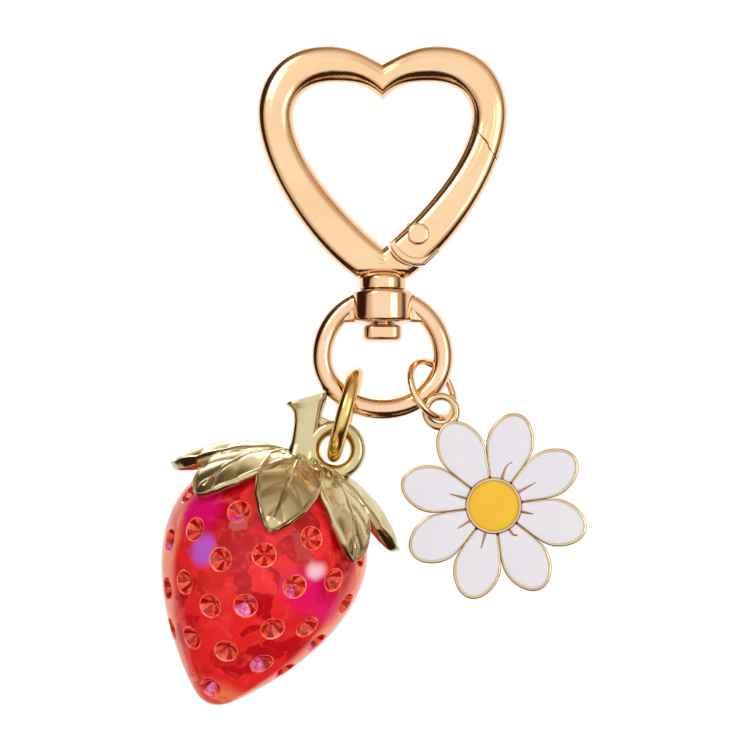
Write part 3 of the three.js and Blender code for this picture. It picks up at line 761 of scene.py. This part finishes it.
def build_swivel_ring():
    piece = make_object("swivel_ring_cast", wire(ring_path(), RING_WIRE, 40, closed=False))
    drum = rounded([(0, BOSS_TOP), (BOSS_RADIUS, BOSS_TOP), (BOSS_RADIUS, BOSS_BOTTOM), (0, BOSS_BOTTOM)],
                   0.7, 9)
    boolean(piece, turned(drum, 128), "UNION")
    lug = rounded_block(LUG_HALF_WIDTH, 1.1, BOSS_BOTTOM + 0.1, BOSS_TOP - 0.7, 0.45)
    boolean(piece, lug, "UNION")
    web = rounded_block(5.6, 1.0, BOSS_BOTTOM + 0.05, BOSS_BOTTOM + 2.2, 0.4)
    boolean(piece, web, "UNION")
    bore = [(0, BOSS_BOTTOM - 1), (POST_RADIUS + RUNNING_GAP, BOSS_BOTTOM - 1),
            (POST_RADIUS + RUNNING_GAP, BOSS_TOP + 1), (0, BOSS_TOP + 1)]
    boolean(piece, turned(bore, 64), "DIFFERENCE")
    finish_piece(piece, "swivel", ring_gold, ["swivel_ring"])


def build_post():
    """The turning post: a round shank, with a head that is rounded-square seen from the front."""
    head_top = BOSS_BOTTOM - RUNNING_GAP
    low = box_mm("swivel_post")[0][2]
    piece = make_object("swivel_post_turned", rounded_block(2.5, 2.2, low, head_top, 0.5, corner=1.5))
    shank = [(0, NECK_BOTTOM_Z + 2.4), (POST_RADIUS, NECK_BOTTOM_Z + 2.4), (POST_RADIUS, head_top - 0.6),
             (0, head_top - 0.6)]
    boolean(piece, turned(rounded(shank, 0.2), 64), "UNION")
    finish_piece(piece, "clasp", rose_gold, ["swivel_post"])


build_swivel_ring()
build_post()

# ---- jump rings


def build_jump_ring(name, node, body, material, seam_toward):
    centre, normal, wire_radius, radius = ring_frame(node)
    shell = split_ring(centre, normal, radius, wire_radius, seam_toward)
    finish_piece(make_object(name, shell), body, material, [node])


build_jump_ring("strawberry_ring_wire", "strawberry_jump_ring", "strawberry_link", yellow_gold,
                (0, 1, 0.3))
build_jump_ring("daisy_ring_wire", "daisy_jump_ring", "daisy_link", ring_gold, (0, 1, -0.4))

# ---- strawberry charm

TILT = math.radians(20)
BERRY_TOP_SHARE = 12 / 32.9
berry_turn = np.array([[math.cos(TILT), 0, math.sin(TILT)], [0, 1, 0], [-math.sin(TILT), 0, math.cos(TILT)]])
berry_points = node_points("strawberry_body") @ berry_turn
berry_low, berry_high = berry_points.min(axis=0), berry_points.max(axis=0)
BERRY_RADIUS = (berry_high[0] - berry_low[0]) / 2
BERRY_LENGTH = berry_high[2] - berry_low[2]
BERRY_TOP = BERRY_TOP_SHARE * BERRY_LENGTH
BERRY_TIP = BERRY_TOP - BERRY_LENGTH
berry_origin = berry_turn @ np.array([(berry_low[0] + berry_high[0]) / 2, 0, berry_low[2] - BERRY_TIP])


def berry_outline(steps=40):
    """(radius, height) from the top at the stem down to the tip."""
    r, top, tip = BERRY_RADIUS, BERRY_TOP, BERRY_TIP
    upper = bezier((0, top), (0.5 * r, top), (r, 0.62 * top), (r, 0), steps)
    lower = bezier((r, 0), (r, 0.42 * tip), (0.41 * r, 0.82 * tip), (0.20 * r, 0.94 * tip), 2 * steps)
    t = np.linspace(0, 1, 14)[:, None]
    a, b, c = np.array([(0.20 * r, 0.94 * tip), (0.10 * r, 0.995 * tip), (0, 0.995 * tip)])
    return np.vstack([upper, lower, (1 - t) ** 2 * a + 2 * t * (1 - t) * b + t * t * c])


OUTLINE = berry_outline()


def skin_at(height):
    """Radius and outward slope of the berry's skin at a height, below its top."""
    falling = OUTLINE[::-1]
    radius = np.interp(height, falling[:, 1], falling[:, 0])
    below = np.interp(height - 0.2, falling[:, 1], falling[:, 0])
    return radius, math.atan2(radius - below, 0.2)


def in_clasp(shell):
    """Moves a shell from the berry's frame to the clasp's frame."""
    return shell.moved(berry_turn, berry_origin)


SEED_ROWS = [(3.6, 8, -20), (-0.4, 8, 2.5), (-2.8, 8, -20), (-7.1, 8, 2.5), (-8.7, 8, -20),
             (-13.4, 10, 0), (-18.6, 3, -8)]
SEED_RADIUS = 1.62
SEED_DEPTH = 1.35
SEED_FACETS = 10
FACET_SIDES = 4
SEED_RINGS = [(-0.9, 1.30, 0), (0, 1.04, 0), (0.10, 0.95, 0), (0.16, 0.88, 0.4), (0.30, 0.84, 1.0),
              (0.62 * SEED_DEPTH, 0.50, 1.0), (0.93 * SEED_DEPTH, 0.13, 1.0)]
RIM_RINGS = 3
# seed materials: painted shade and painted light on alternate facets, a painted highlight round the rim and
# a painted lilac highlight on the lowest facets
SHADED_FACET, RIM_HIGHLIGHT, LILAC_HIGHLIGHT = 0, 2, 3


def seed_cutter(height, azimuth, spin):
    """A faceted cone with a softly rounded mouth, sunk into the skin."""
    radius, slope = skin_at(height)
    rows = []
    fan = FACET_SIDES * SEED_FACETS
    for depth, reach, facet in SEED_RINGS:
        ring = []
        for k in range(fan):
            a = k * TAU / fan
            within = (a * SEED_FACETS / TAU) % 1 - 0.5
            flatten = math.cos(math.pi / SEED_FACETS) / math.cos(TAU / SEED_FACETS * within)
            r = SEED_RADIUS * reach * ((1 - facet) + facet * flatten)
            ring.append((r * math.cos(a + spin), depth, r * math.sin(a + spin)))
        rows.append(ring)
    shell = loft(rows)
    c, s = math.cos(slope), math.sin(slope)
    square_on = [[1, 0, 0], [0, c, -s], [0, s, c]]
    return shell.moved(square_on, (0, -radius, height)).moved(turn_z(math.radians(azimuth)))


def seed_tints(spin, lilac):
    """Which material each face of a seed cutter leaves in the skin."""
    tints = []
    for ring in range(len(SEED_RINGS) - 1):
        for side in range(FACET_SIDES * SEED_FACETS):
            facet = side // FACET_SIDES
            up = math.sin((facet + 0.5) * TAU / SEED_FACETS + spin)
            # painted highlight round the seed's mouth; a painted lilac highlight on its lowest facets
            if ring < RIM_RINGS:
                tints.append(RIM_HIGHLIGHT)
            elif lilac and up < -0.7:
                tints.append(LILAC_HIGHLIGHT)
            else:
                tints.append(SHADED_FACET + facet % 2)
    return tints + [RIM_HIGHLIGHT, SHADED_FACET]


def build_berry(skin, facets):
    body = make_object("strawberry_shell", in_clasp(turned(OUTLINE, 180)))
    body.data.materials.append(skin)
    cutters = Shell()
    tints = []
    for row, (height, count, phase) in enumerate(SEED_ROWS):
        for i in range(count):
            spin = 0.7 * i + row
            cutters.join(seed_cutter(height, phase + 360 * i / count, spin))
            tints += seed_tints(spin, (i + row) % 3 == 0)
    boolean(body, in_clasp(cutters), "DIFFERENCE", materials=facets, tints=tints)
    finish_piece(body, "strawberry", None, ["strawberry_body"], sharp=17)


LEAF_HALF_WIDTH = 4.25
LEAF_THICK = 0.75
LEAF_GAP = 0.3
LEAF_TIP_HEIGHT = 3.0
LEAF_VEINS = 4
# azimuth in degrees, lift, arch, reach, width and droop of each leaf
LEAVES = [(1, 0.5, 2.6, 1.1, 1.0, 0.0), (51, 0.3, 2.6, 0.9, 1.12, 0.0), (101, 3.2, 1.3, -0.9, 1.05, 2.6),
          (154, 2.0, 1.6, -0.5, 1.0, 1.5), (206, 2.0, 1.6, -0.5, 1.0, 1.5),
          (261, 2.8, 1.2, -1.4, 1.1, 2.6), (314, 0.3, 2.6, 0.2, 1.16, 0.0)]


def leaf_spine(count, lift, arch, reach):
    """(radius, height) along the middle of a leaf, from the hub to its lifted tip."""
    upper = OUTLINE[OUTLINE[:, 1] >= LEAF_TIP_HEIGHT - reach]
    upper = upper[upper[:, 0] > 1.2]
    tangent = np.gradient(upper, axis=0)
    out = np.column_stack([-tangent[:, 1], tangent[:, 0]])
    out /= np.linalg.norm(out, axis=1)[:, None]
    share = np.linspace(0, 1, len(upper))[:, None]
    raised = upper + out * (LEAF_GAP + lift * share**arch)
    return along_length(raised, count)


def leaf_shell(azimuth, lift, arch, reach, width, droop):
    """One leaf: pillowed cells between the veins, a raised rim, and a pointed tip."""
    rows, columns = 74, 45
    spine = leaf_spine(rows, lift, arch, reach)
    tangent = np.gradient(spine, axis=0)
    tangent /= np.linalg.norm(tangent, axis=1)[:, None]
    out = np.column_stack([-tangent[:, 1], tangent[:, 0]])
    v = np.linspace(0, 1, rows)
    half = width * LEAF_HALF_WIDTH * np.interp(v, [0, 0.12, 0.3, 0.5, 0.62, 0.78, 0.9, 0.97, 1.0],
                                               [0.50, 0.68, 0.93, 1.0, 0.97, 0.79, 0.50, 0.24, 0.03])
    u = np.sin(np.linspace(-math.pi / 2, math.pi / 2, columns))
    top, bottom = [], []
    for i in range(rows):
        cell = LEAF_VEINS * (v[i] * 1.08 + 0.26 * (1 - np.abs(u)) - 0.1)
        pillow = np.abs(np.sin(math.pi * cell)) ** 0.7
        inside = np.clip((1 - np.abs(u)) / 0.16, 0, 1)
        fade = np.clip(v[i] / 0.18, 0, 1) * np.clip((1 - v[i]) / 0.1, 0, 1)
        rim = 0.30 * np.exp(-(((1 - np.abs(u)) * half[i] / 0.28) - 0.9) ** 2)
        vein = 0.20 * np.exp(-((u * half[i] / 0.14) ** 2))
        cells = 0.24 * pillow * inside * np.clip(np.abs(u) / 0.14, 0.25, 1)
        relief = fade * (cells + vein) + rim * (v[i] > 0.05)
        across = u * half[i]
        curl = 1.25 * max(spine[i, 0], 1.2)
        bend = np.clip(across / curl, -1.15, 1.15)
        x = curl * np.sin(bend)
        drop = curl * (1 - np.cos(bend))
        edge_thin = 0.35 + 0.65 * np.clip((1 - np.abs(u)) / 0.1, 0, 1) ** 0.5
        hang = droop * v[i] * u**2 * half[i] / half.max()
        for rise, row in ((LEAF_THICK + relief - hang, top), (LEAF_THICK * (1 - edge_thin) - hang, bottom)):
            radial = spine[i, 0] - drop + rise * out[i, 0]
            height = spine[i, 1] + rise * out[i, 1]
            row.append(np.column_stack([x, -radial, height]))
    rings = [np.vstack([t, b[::-1]]) for t, b in zip(top, bottom)]
    return loft(rings).moved(turn_z(math.radians(azimuth)))


def stem_shell():
    """The stem: a squarish stalk that flares at its foot and at its cut top."""
    foot = BERRY_TOP - 0.4
    rows = []
    sides = 64
    angles = np.arange(sides) * TAU / sides
    for t in np.linspace(0, 1, 60):
        size = np.interp(t, [0, 0.12, 0.3, 0.6, 0.82, 0.95, 1], [2.5, 2.05, 1.75, 1.68, 1.95, 2.3, 2.2])
        power = np.interp(t, [0, 0.3, 1], [2.2, 3.2, 4.5])
        radius = size * squarish(angles, power)
        lean_x = 0.3 - 0.5 * t - 1.55 * t * t
        height = foot + 8.6 * t
        x = lean_x + radius * np.cos(angles)
        y = radius * 0.9 * np.sin(angles)
        slope = np.interp(t, [0, 0.72, 1], [0, 0, 0.7])
        rows.append(np.column_stack([x, y, height + slope * (x - lean_x)]))
    middle = rows[-1].mean(axis=0)
    for shrink, sink in ((0.86, 0.02), (0.72, 0.22), (0.4, 0.34), (0.12, 0.36)):
        rows.append(middle + (rows[59] - middle) * shrink - np.array([0, 0, sink]))
    return loft(rows)


BAIL_HOLE = 1.95
BAIL_BAND = 1.95
BAIL_THICK = 3.0


def bail_shell(centre):
    """A thick ring with a rounded section, its axis along Y."""
    middle = BAIL_HOLE + BAIL_BAND / 2
    rings = []
    section = np.arange(36) * TAU / 36
    size = squarish(section, 2.6)
    r = middle + BAIL_BAND / 2 * size * np.cos(section)
    y = BAIL_THICK / 2 * size * np.sin(section)
    for a in np.linspace(0, TAU, 108, endpoint=False):
        rings.append(np.column_stack([centre[0] + r * math.cos(a), y, centre[2] + r * math.sin(a)]))
    return loft(rings, closed=True)


def build_cap():
    hub_outline = [(0, BERRY_TOP + 1.1), (1.5, BERRY_TOP + 1.05), (3.1, BERRY_TOP + 0.55)]
    radius, _ = skin_at(BERRY_TOP - 0.9)
    hub_outline += [(radius, BERRY_TOP - 0.5), (radius - 0.1, BERRY_TOP - 0.75), (0, BERRY_TOP - 0.2)]
    piece = make_object("strawberry_leaf_cap", in_clasp(turned(rounded(hub_outline, 0.4), 96)))
    boolean(piece, in_clasp(stem_shell()), "UNION")
    hole = (joint_point("strawberry_sway") + [-0.19, 0, 0.53] - berry_origin) @ berry_turn
    boolean(piece, in_clasp(bail_shell(hole + [0.3, 0, 0.2])), "UNION")
    bar = rounded_block(1.6, 0.9, hole[2] + 2.2, hole[2] + 3.6, 0.3, corner=0.4)
    boolean(piece, in_clasp(bar.moved(None, (hole[0] - 2.2, 0, 0))), "UNION")
    for leaf in LEAVES:
        boolean(piece, in_clasp(leaf_shell(*leaf)), "UNION", crossing=True)
    finish_piece(piece, "strawberry", pale_gold, ["strawberry_cap"], sharp=42)


# centre in the berry's frame, radius, softness, colour and strength of each patch of painted sheen; the pale
# pink patch is a painted highlight
PAINTED_SHEEN = [
    ((-9.3, -9.2, 1.9), 3.0, 1.3, (0.80, 0.004, 0.18), 0.9),
    ((-6.8, -11.2, -2.6), 1.9, 0.9, (0.46, 0.13, 0.78), 0.85),
    ((6.7, -11.2, -2.7), 2.8, 1.3, (0.82, 0.004, 0.16), 0.85),
    ((10.3, -8.0, -4.4), 2.2, 1.2, (0.82, 0.01, 0.18), 0.7),
    ((7.4, -10.8, 0.2), 1.1, 0.7, (1.0, 0.62, 0.72), 0.9),
    ((9.3, 9.2, 1.9), 3.0, 1.3, (0.80, 0.004, 0.18), 0.9),
    ((6.8, 11.2, -2.6), 1.9, 0.9, (0.46, 0.13, 0.78), 0.85),
    ((-6.7, 11.2, -2.7), 2.8, 1.3, (0.82, 0.004, 0.16), 0.85),
]


# painted glow: the berry's skin and seed facets give off light in their own colour
PAINTED_GLOW = 0.12


def berry_skin():
    """Clear red acrylic: dark patches as painted shade seen inside, a painted warm glow at its rim and tip,
    and patches of painted magenta and violet sheen with a painted highlight.
    """
    s = Surface("berry_skin", Roughness=0.12, Specular_IOR_Level=0.08, Coat_Weight=0.45,
                Coat_Roughness=0.02, Coat_IOR=1.45)
    p = berry_frame_vector(s, berry_origin, TILT)
    split = s.add("ShaderNodeSeparateXYZ")
    s.put(p, split.inputs[0])
    x, y, z = split.outputs
    girth = s.math("SQRT", s.math("ADD", s.math("MULTIPLY", x, x), s.math("MULTIPLY", y, y)))
    sideways = s.math("DIVIDE", x, s.math("MAXIMUM", girth, 0.5))
    cloud = s.noise(0.16, detail=3, vector=p, distortion=0.8)
    wobble = s.set(s.add("ShaderNodeTexNoise"), Vector=p, Scale=0.35)
    bent = vector_math(s, "MULTIPLY_ADD", wobble.outputs["Color"], (3.2, 3.2, 3.2), p)
    patches = s.set(s.add("ShaderNodeTexVoronoi", feature="F1"), Vector=bent.outputs[0], Scale=0.34)
    grey = s.add("ShaderNodeSeparateColor")
    s.put(patches.outputs["Color"], grey.inputs[0])
    # painted shade: dark red patches stand in for the shade seen deep inside the clear body
    depth = s.math("ADD", s.math("MULTIPLY", grey.outputs[0], 0.7), s.math("MULTIPLY", cloud, 0.45))
    deep = s.mix(s.spread(depth, 0.32, 0.72), colour(0.50, 0.003, 0.010), colour(0.86, 0.022, 0.024))
    veil = s.spread(s.noise(0.5, detail=4, vector=p, distortion=1.2), 0.5, 0.75, 0.0, 0.5)
    lit = s.mix(veil, deep, colour(0.95, 0.085, 0.055))
    # painted glow: coral towards the berry's sides, by x over its girth, and near its tip
    uneven = s.math("ADD", sideways, s.math("MULTIPLY", cloud, -0.08))
    edge = s.spread(s.math("ABSOLUTE", uneven), 0.80, 0.89)
    painted_glow_tint = s.mix(s.spread(depth, 0.35, 0.75), colour(0.90, 0.11, 0.06), colour(0.98, 0.26, 0.12))
    rim = s.mix(edge, lit, painted_glow_tint)
    waved = s.math("ADD", z, s.math("MULTIPLY", cloud, 2.0))
    painted_tip_glow = s.spread(waved, BERRY_TIP + 2.6, BERRY_TIP + 5.0, 0.9, 0.0)
    shade = s.mix(painted_tip_glow, rim, painted_glow_tint)
    # painted sheen and a painted highlight laid over the skin's colour
    for centre, radius, softness, tint, amount in PAINTED_SHEEN:
        mask = s.math("MULTIPLY", spot(s, p, centre, radius, softness), amount)
        shade = s.mix(mask, shade, colour(*tint))
    # painted glow of the skin's own colour
    s.set(s.shader, Base_Color=shade, Emission_Color=shade, Emission_Strength=PAINTED_GLOW)
    wave = s.noise(0.25, detail=1, vector=p)
    s.link(s.bump(wave, 0.35, 0.0006), "Coat Normal")
    s.link(s.spread(s.noise(2.2, detail=4, vector=p), 0.3, 0.7, 0.08, 0.2), "Roughness")
    return s.material


def seed_facet(name, dark, bright):
    """A cut facet of the clear red acrylic, with light and dark flecks seen in it."""
    s = Surface(name, Roughness=0.12, Specular_IOR_Level=0.1, Coat_Weight=0.8, Coat_Roughness=0.02,
                Coat_IOR=1.5)
    p = berry_frame_vector(s, berry_origin, TILT)
    fleck = s.noise(0.9, detail=3, vector=p, distortion=1.5)
    shade = s.mix(s.spread(fleck, 0.38, 0.62), colour(*dark), colour(*bright))
    # painted glow of the facet's own colour
    s.set(s.shader, Base_Color=shade, Emission_Color=shade, Emission_Strength=PAINTED_GLOW)
    s.link(s.spread(s.noise(2.5, detail=3, vector=p), 0.3, 0.7, 0.08, 0.18), "Roughness")
    return s.material


# painted shade, painted light, painted rim highlight and painted lilac highlight for the seed facets
seed_facets = [
    seed_facet("seed_painted_shade", (0.30, 0.002, 0.004), (0.62, 0.010, 0.014)),
    seed_facet("seed_painted_light", (0.80, 0.030, 0.020), (1.0, 0.16, 0.060)),
    seed_facet("seed_rim_highlight", (0.92, 0.10, 0.06), (1.0, 0.30, 0.20)),
    seed_facet("seed_lilac_highlight", (0.70, 0.03, 0.20), (0.80, 0.30, 0.60)),
]

build_berry(berry_skin(), seed_facets)
build_cap()

# ---- daisy charm

enamel_low, enamel_high = box_mm("centre_enamel")
plate_high = box_mm("daisy_plate")[1]
plate_points = node_points("daisy_plate")
daisy_x, daisy_z = (enamel_low[0] + enamel_high[0]) / 2, (enamel_low[2] + enamel_high[2]) / 2
petal_points = plate_points[plate_points[:, 2] < daisy_z] - [daisy_x, 0, daisy_z]
PETAL_REACH = np.linalg.norm(petal_points[:, [0, 2]], axis=1).max()
PETAL_COUNT = 8
PETAL_PHASE = math.radians(30)
PETAL_HALF_WIDTH = 3.18
CENTRE_RADIUS = 3.6
PLATE_FRONT, PLATE_BACK = -2.6, -1.0
RIM = 0.36
HALF_BAR = 0.15
FILL_ROOM = 0.02
WELL_RADIUS = CENTRE_RADIUS - 0.38
ENAMEL_BACK = -2.05
bail_points = plate_points[plate_points[:, 2] > plate_high[2] - 2.0]
DAISY_BAIL_WIRE = 0.5
DAISY_BAIL_RADIUS = 1.95
bail_x = (bail_points[:, 0].min() + bail_points[:, 0].max()) / 2
bail_z = plate_high[2] - DAISY_BAIL_RADIUS - DAISY_BAIL_WIRE


def without_repeats(points, closest=0.02):
    """A closed outline with points that nearly coincide taken out."""
    kept = [points[0]]
    for p in points[1:]:
        if np.linalg.norm(p - kept[-1]) > closest:
            kept.append(p)
    if np.linalg.norm(kept[0] - kept[-1]) < closest:
        kept.pop()
    return np.array(kept)


def petal_outline(bar, rim, inner_radius, steps=30):
    """One petal along +X: an ellipse that its neighbours cut off lower down.

    It is drawn in by bar along its straight sides and by rim round its end, and starts on a circle.
    """
    side = math.pi / PETAL_COUNT
    opening = side - math.asin(bar * math.cos(side) / inner_radius)
    half_length = 0.40 * PETAL_REACH
    middle = PETAL_REACH - half_length
    start = (inner_radius * math.cos(opening) - middle) / (half_length - rim)
    swing = np.linspace(math.asin(start), math.pi / 2, steps)
    x = middle + (half_length - rim) * np.sin(swing)
    wedge = math.tan(side) * x - bar
    ellipse = np.maximum((PETAL_HALF_WIDTH - rim) * np.cos(swing), 0.001)
    half = wedge * (1 + (wedge / ellipse) ** 10) ** -0.1
    lower = np.column_stack([x, -half])
    turn = np.linspace(opening, -opening, 8)[1:-1]
    inner = inner_radius * np.column_stack([np.cos(turn), np.sin(turn)])
    return without_repeats(np.vstack([lower, lower[::-1] * [1, -1], inner]))


def rotate_xz(points, angle):
    c, s = math.cos(angle), math.sin(angle)
    points = np.asarray(points)
    return np.column_stack([points[:, 0] * c - points[:, 1] * s, points[:, 0] * s + points[:, 1] * c])


def petal_at(index, bar, rim, inner_radius):
    outline = petal_outline(bar, rim, inner_radius)
    return rotate_xz(outline, PETAL_PHASE + TAU * index / PETAL_COUNT) + [daisy_x, daisy_z]


def build_daisy_plate():
    """The stamped plate: eight raised petal rims, the centre ring and the bail."""
    edge = 0.14
    layers = [(PLATE_FRONT, -edge), (PLATE_FRONT + 0.4 * edge, -0.3 * edge), (PLATE_FRONT + edge, 0),
              (PLATE_BACK - 0.3, 0), (PLATE_BACK, -0.3)]
    petals = [slab(petal_at(i, -0.03, 0, CENTRE_RADIUS - 0.7), layers) for i in range(PETAL_COUNT)]
    plate = make_object("daisy_plate_stamped", petals[0])
    for petal in petals[1:]:
        boolean(plate, petal, "UNION")
    ring_layers = [(PLATE_FRONT - 0.12, -0.12), (PLATE_FRONT, 0), (PLATE_BACK - 0.05, 0)]
    boolean(plate, slab(circle_xz((daisy_x, daisy_z), CENTRE_RADIUS, 96), ring_layers), "UNION")
    for i in range(PETAL_COUNT):
        inner = petal_at(i, HALF_BAR, RIM, CENTRE_RADIUS)
        recess = slab(inner, [(PLATE_FRONT - 1, 0.05), (PLATE_FRONT + 0.05, 0), (ENAMEL_BACK, 0)])
        boolean(plate, recess, "DIFFERENCE")
    well = circle_xz((daisy_x, daisy_z), WELL_RADIUS, 96)
    boolean(plate, slab(well, [(PLATE_FRONT - 1, 0.1), (PLATE_FRONT, 0), (ENAMEL_BACK, 0)]), "DIFFERENCE")
    bail = circle_xz((bail_x, bail_z), DAISY_BAIL_RADIUS, 72)
    boolean(plate, wire(upright(bail, (PLATE_FRONT + PLATE_BACK) / 2), DAISY_BAIL_WIRE), "UNION")
    finish_piece(plate, "daisy", rim_gold, ["daisy_plate"], sharp=40)


# direction in degrees, how far out it ends, and its bend
STAMENS = [(73, 6.0, -0.11), (29, 6.2, 0.0), (-12, 5.1, 0.0), (-57, 4.8, 0.10), (-107, 5.7, 0.0),
           (-148, 5.5, 0.0), (165, 5.8, 0.0)]


def stamen_shell(angle, stop, bend):
    """A thin raised line that runs out from the centre into a petal."""
    t = np.linspace(0, 1, 16)
    radius = CENTRE_RADIUS + (stop - CENTRE_RADIUS) * t
    turn = angle + bend * t**5
    flat = np.column_stack([daisy_x + radius * np.cos(turn), daisy_z + radius * np.sin(turn)])
    return wire(upright(flat, PLATE_FRONT + 0.05), 0.16 * (1 - 0.25 * t), 12, closed=False)


def build_stamens():
    stamens = Shell()
    for angle, stop, bend in STAMENS:
        stamens.join(stamen_shell(math.radians(angle), stop, bend))
    finish_piece(make_object("daisy_stamens", stamens), "daisy", stamen_bronze, [])


def build_enamel(name, outline, node, material, dome):
    """A poured fill: flush at its edge and gently domed towards its middle."""
    middle = outline.mean(axis=0)
    edge_y = PLATE_FRONT + 0.10
    rows = [upright(outline, ENAMEL_BACK)]
    for t in np.linspace(1, 0.04, 9):
        rows.append(upright(middle + (outline - middle) * t, edge_y - dome * (1 - t**3)))
    piece = make_object(name, loft(rows))
    finish_piece(piece, "daisy", material, [node], sharp=50)


build_daisy_plate()
build_stamens()
for index in range(PETAL_COUNT):
    pool = petal_at(index, HALF_BAR + FILL_ROOM, RIM + FILL_ROOM, CENTRE_RADIUS + FILL_ROOM)
    build_enamel(f"daisy_petal_fill_{index + 1}", pool, f"petal_enamel_{index + 1}", white_enamel,
                 0.16)
build_enamel("daisy_centre_fill", circle_xz((daisy_x, daisy_z), WELL_RADIUS - FILL_ROOM, 96),
             "centre_enamel", yellow_enamel, 0.28)

# ---- room, light and camera


def build_floor():
    """A plain pale floor some way below the hanging keychain."""
    drop = 0.065
    bpy.ops.mesh.primitive_circle_add(vertices=96, radius=0.6, fill_type="NGON",
                                      location=(0, 0, cad_box[0][2] - drop))
    floor = bpy.context.object
    floor.name = "floor"
    s = Surface("floor_paint", Roughness=0.7)
    grain = s.noise(60, detail=4)
    s.link(s.mix(grain, colour(0.86, 0.86, 0.87), colour(0.90, 0.90, 0.90)), "Base Color")
    floor.data.materials.append(s.material)
    floor.visible_glossy = False


def toward(w, x, z, aim_x, aim_z):
    """How nearly a sideways direction points one way, 0 to 1."""
    along = w.math("ADD", w.math("MULTIPLY", x, aim_x), w.math("MULTIPLY", z, aim_z))
    return w.math("POWER", w.math("MAXIMUM", along, 0.0), 2.0)


def build_world():
    """Soft studio light: bright before and behind, a warm dark belt all round at the sides."""
    world = bpy.data.worlds.new("studio")
    bpy.context.scene.world = world
    world.use_nodes = True
    world.node_tree.nodes.clear()
    w = Shading(world.node_tree)
    split = w.add("ShaderNodeSeparateXYZ")
    w.put(w.add("ShaderNodeTexCoord").outputs["Generated"], split.inputs[0])
    side_x, depth, side_z = split.outputs
    sideways = w.math("SQRT", w.math("ADD", w.math("MULTIPLY", side_x, side_x),
                                     w.math("MULTIPLY", side_z, side_z)))
    around = w.math("MAXIMUM", sideways, 0.001)
    x, z = w.math("DIVIDE", side_x, around), w.math("DIVIDE", side_z, around)
    wide = w.math("MAXIMUM", toward(w, x, z, 0.0, -1.3), toward(w, x, z, -0.8, 0.6))
    half_width = w.math("ADD", 0.10, w.math("MULTIPLY", wide, 0.36))
    outside = w.spread(w.math("ABSOLUTE", depth), half_width, w.math("ADD", half_width, 0.16))
    soft = toward(w, x, z, 0.42, 0.91)
    belt = w.mix(soft, (0.035, 0.016, 0.010, 1), (0.42, 0.30, 0.22, 1))
    room = w.ramp(w.math("MULTIPLY_ADD", depth, 0.5, 0.5),
                  [(0.0, (1.0, 1.0, 1.0)), (0.07, (1.0, 0.99, 0.97)), (0.20, (0.66, 0.55, 0.46)),
                   (0.42, (0.55, 0.44, 0.36)), (0.62, (0.85, 0.76, 0.68)), (0.80, (1.0, 0.96, 0.92)),
                   (1.0, (1.0, 1.0, 1.0))])
    shaded = w.add("ShaderNodeBackground")
    w.put(w.mix(outside, belt, room), shaded.inputs[0])
    plain = w.add("ShaderNodeBackground")
    plain.inputs[0].default_value = (1, 1, 1, 1)
    choose = w.add("ShaderNodeMixShader")
    w.put(w.add("ShaderNodeLightPath").outputs["Is Camera Ray"], choose.inputs[0])
    w.put(shaded.outputs[0], choose.inputs[1])
    w.put(plain.outputs[0], choose.inputs[2])
    w.put(choose.outputs[0], w.add("ShaderNodeOutputWorld").inputs[0])


def area_light(name, place, aim, size, power, tint):
    data = bpy.data.lights.new(name, "AREA")
    data.shape = "RECTANGLE"
    data.size, data.size_y = size
    data.energy = power
    data.color = tint
    light = bpy.data.objects.new(name, data)
    bpy.context.scene.collection.objects.link(light)
    light.location = place
    light.rotation_euler = (Vector(aim) - Vector(place)).to_track_quat("-Z", "Y").to_euler()


def build_lights():
    low, high = cad_box
    middle = (low + high) / 2
    area_light("key", middle + Vector((-0.22, -0.35, 0.28)), middle, (0.16, 0.22), 0.38, (1, 0.98, 0.96))
    area_light("fill", middle + Vector((0.30, -0.30, 0.02)), middle, (0.18, 0.26), 0.25, (1, 0.97, 0.95))
    area_light("rim", middle + Vector((-0.05, 0.35, 0.25)), middle, (0.3, 0.12), 0.25, (1, 1, 1))


def build_camera():
    """Looks along +Y from a little below the middle, as far away as a product photograph is taken."""
    photo_width = 0.09675
    photo_middle = Vector((-0.00097, 0, -0.03586))
    distance = 0.33
    rise = math.radians(-4)
    data = bpy.data.cameras.new("camera")
    data.sensor_width = 36
    data.lens = data.sensor_width * distance / photo_width
    camera = bpy.data.objects.new("camera", data)
    bpy.context.scene.collection.objects.link(camera)
    back = Vector((0, -math.cos(rise), math.sin(rise)))
    camera.location = photo_middle + back * distance
    camera.rotation_euler = (-back).to_track_quat("-Z", "Y").to_euler()
    data.clip_start = 0.01
    data.clip_end = 10
    bpy.context.scene.camera = camera


build_floor()
build_world()
build_lights()
build_camera()
bpy.context.scene.view_settings.view_transform = "Standard"
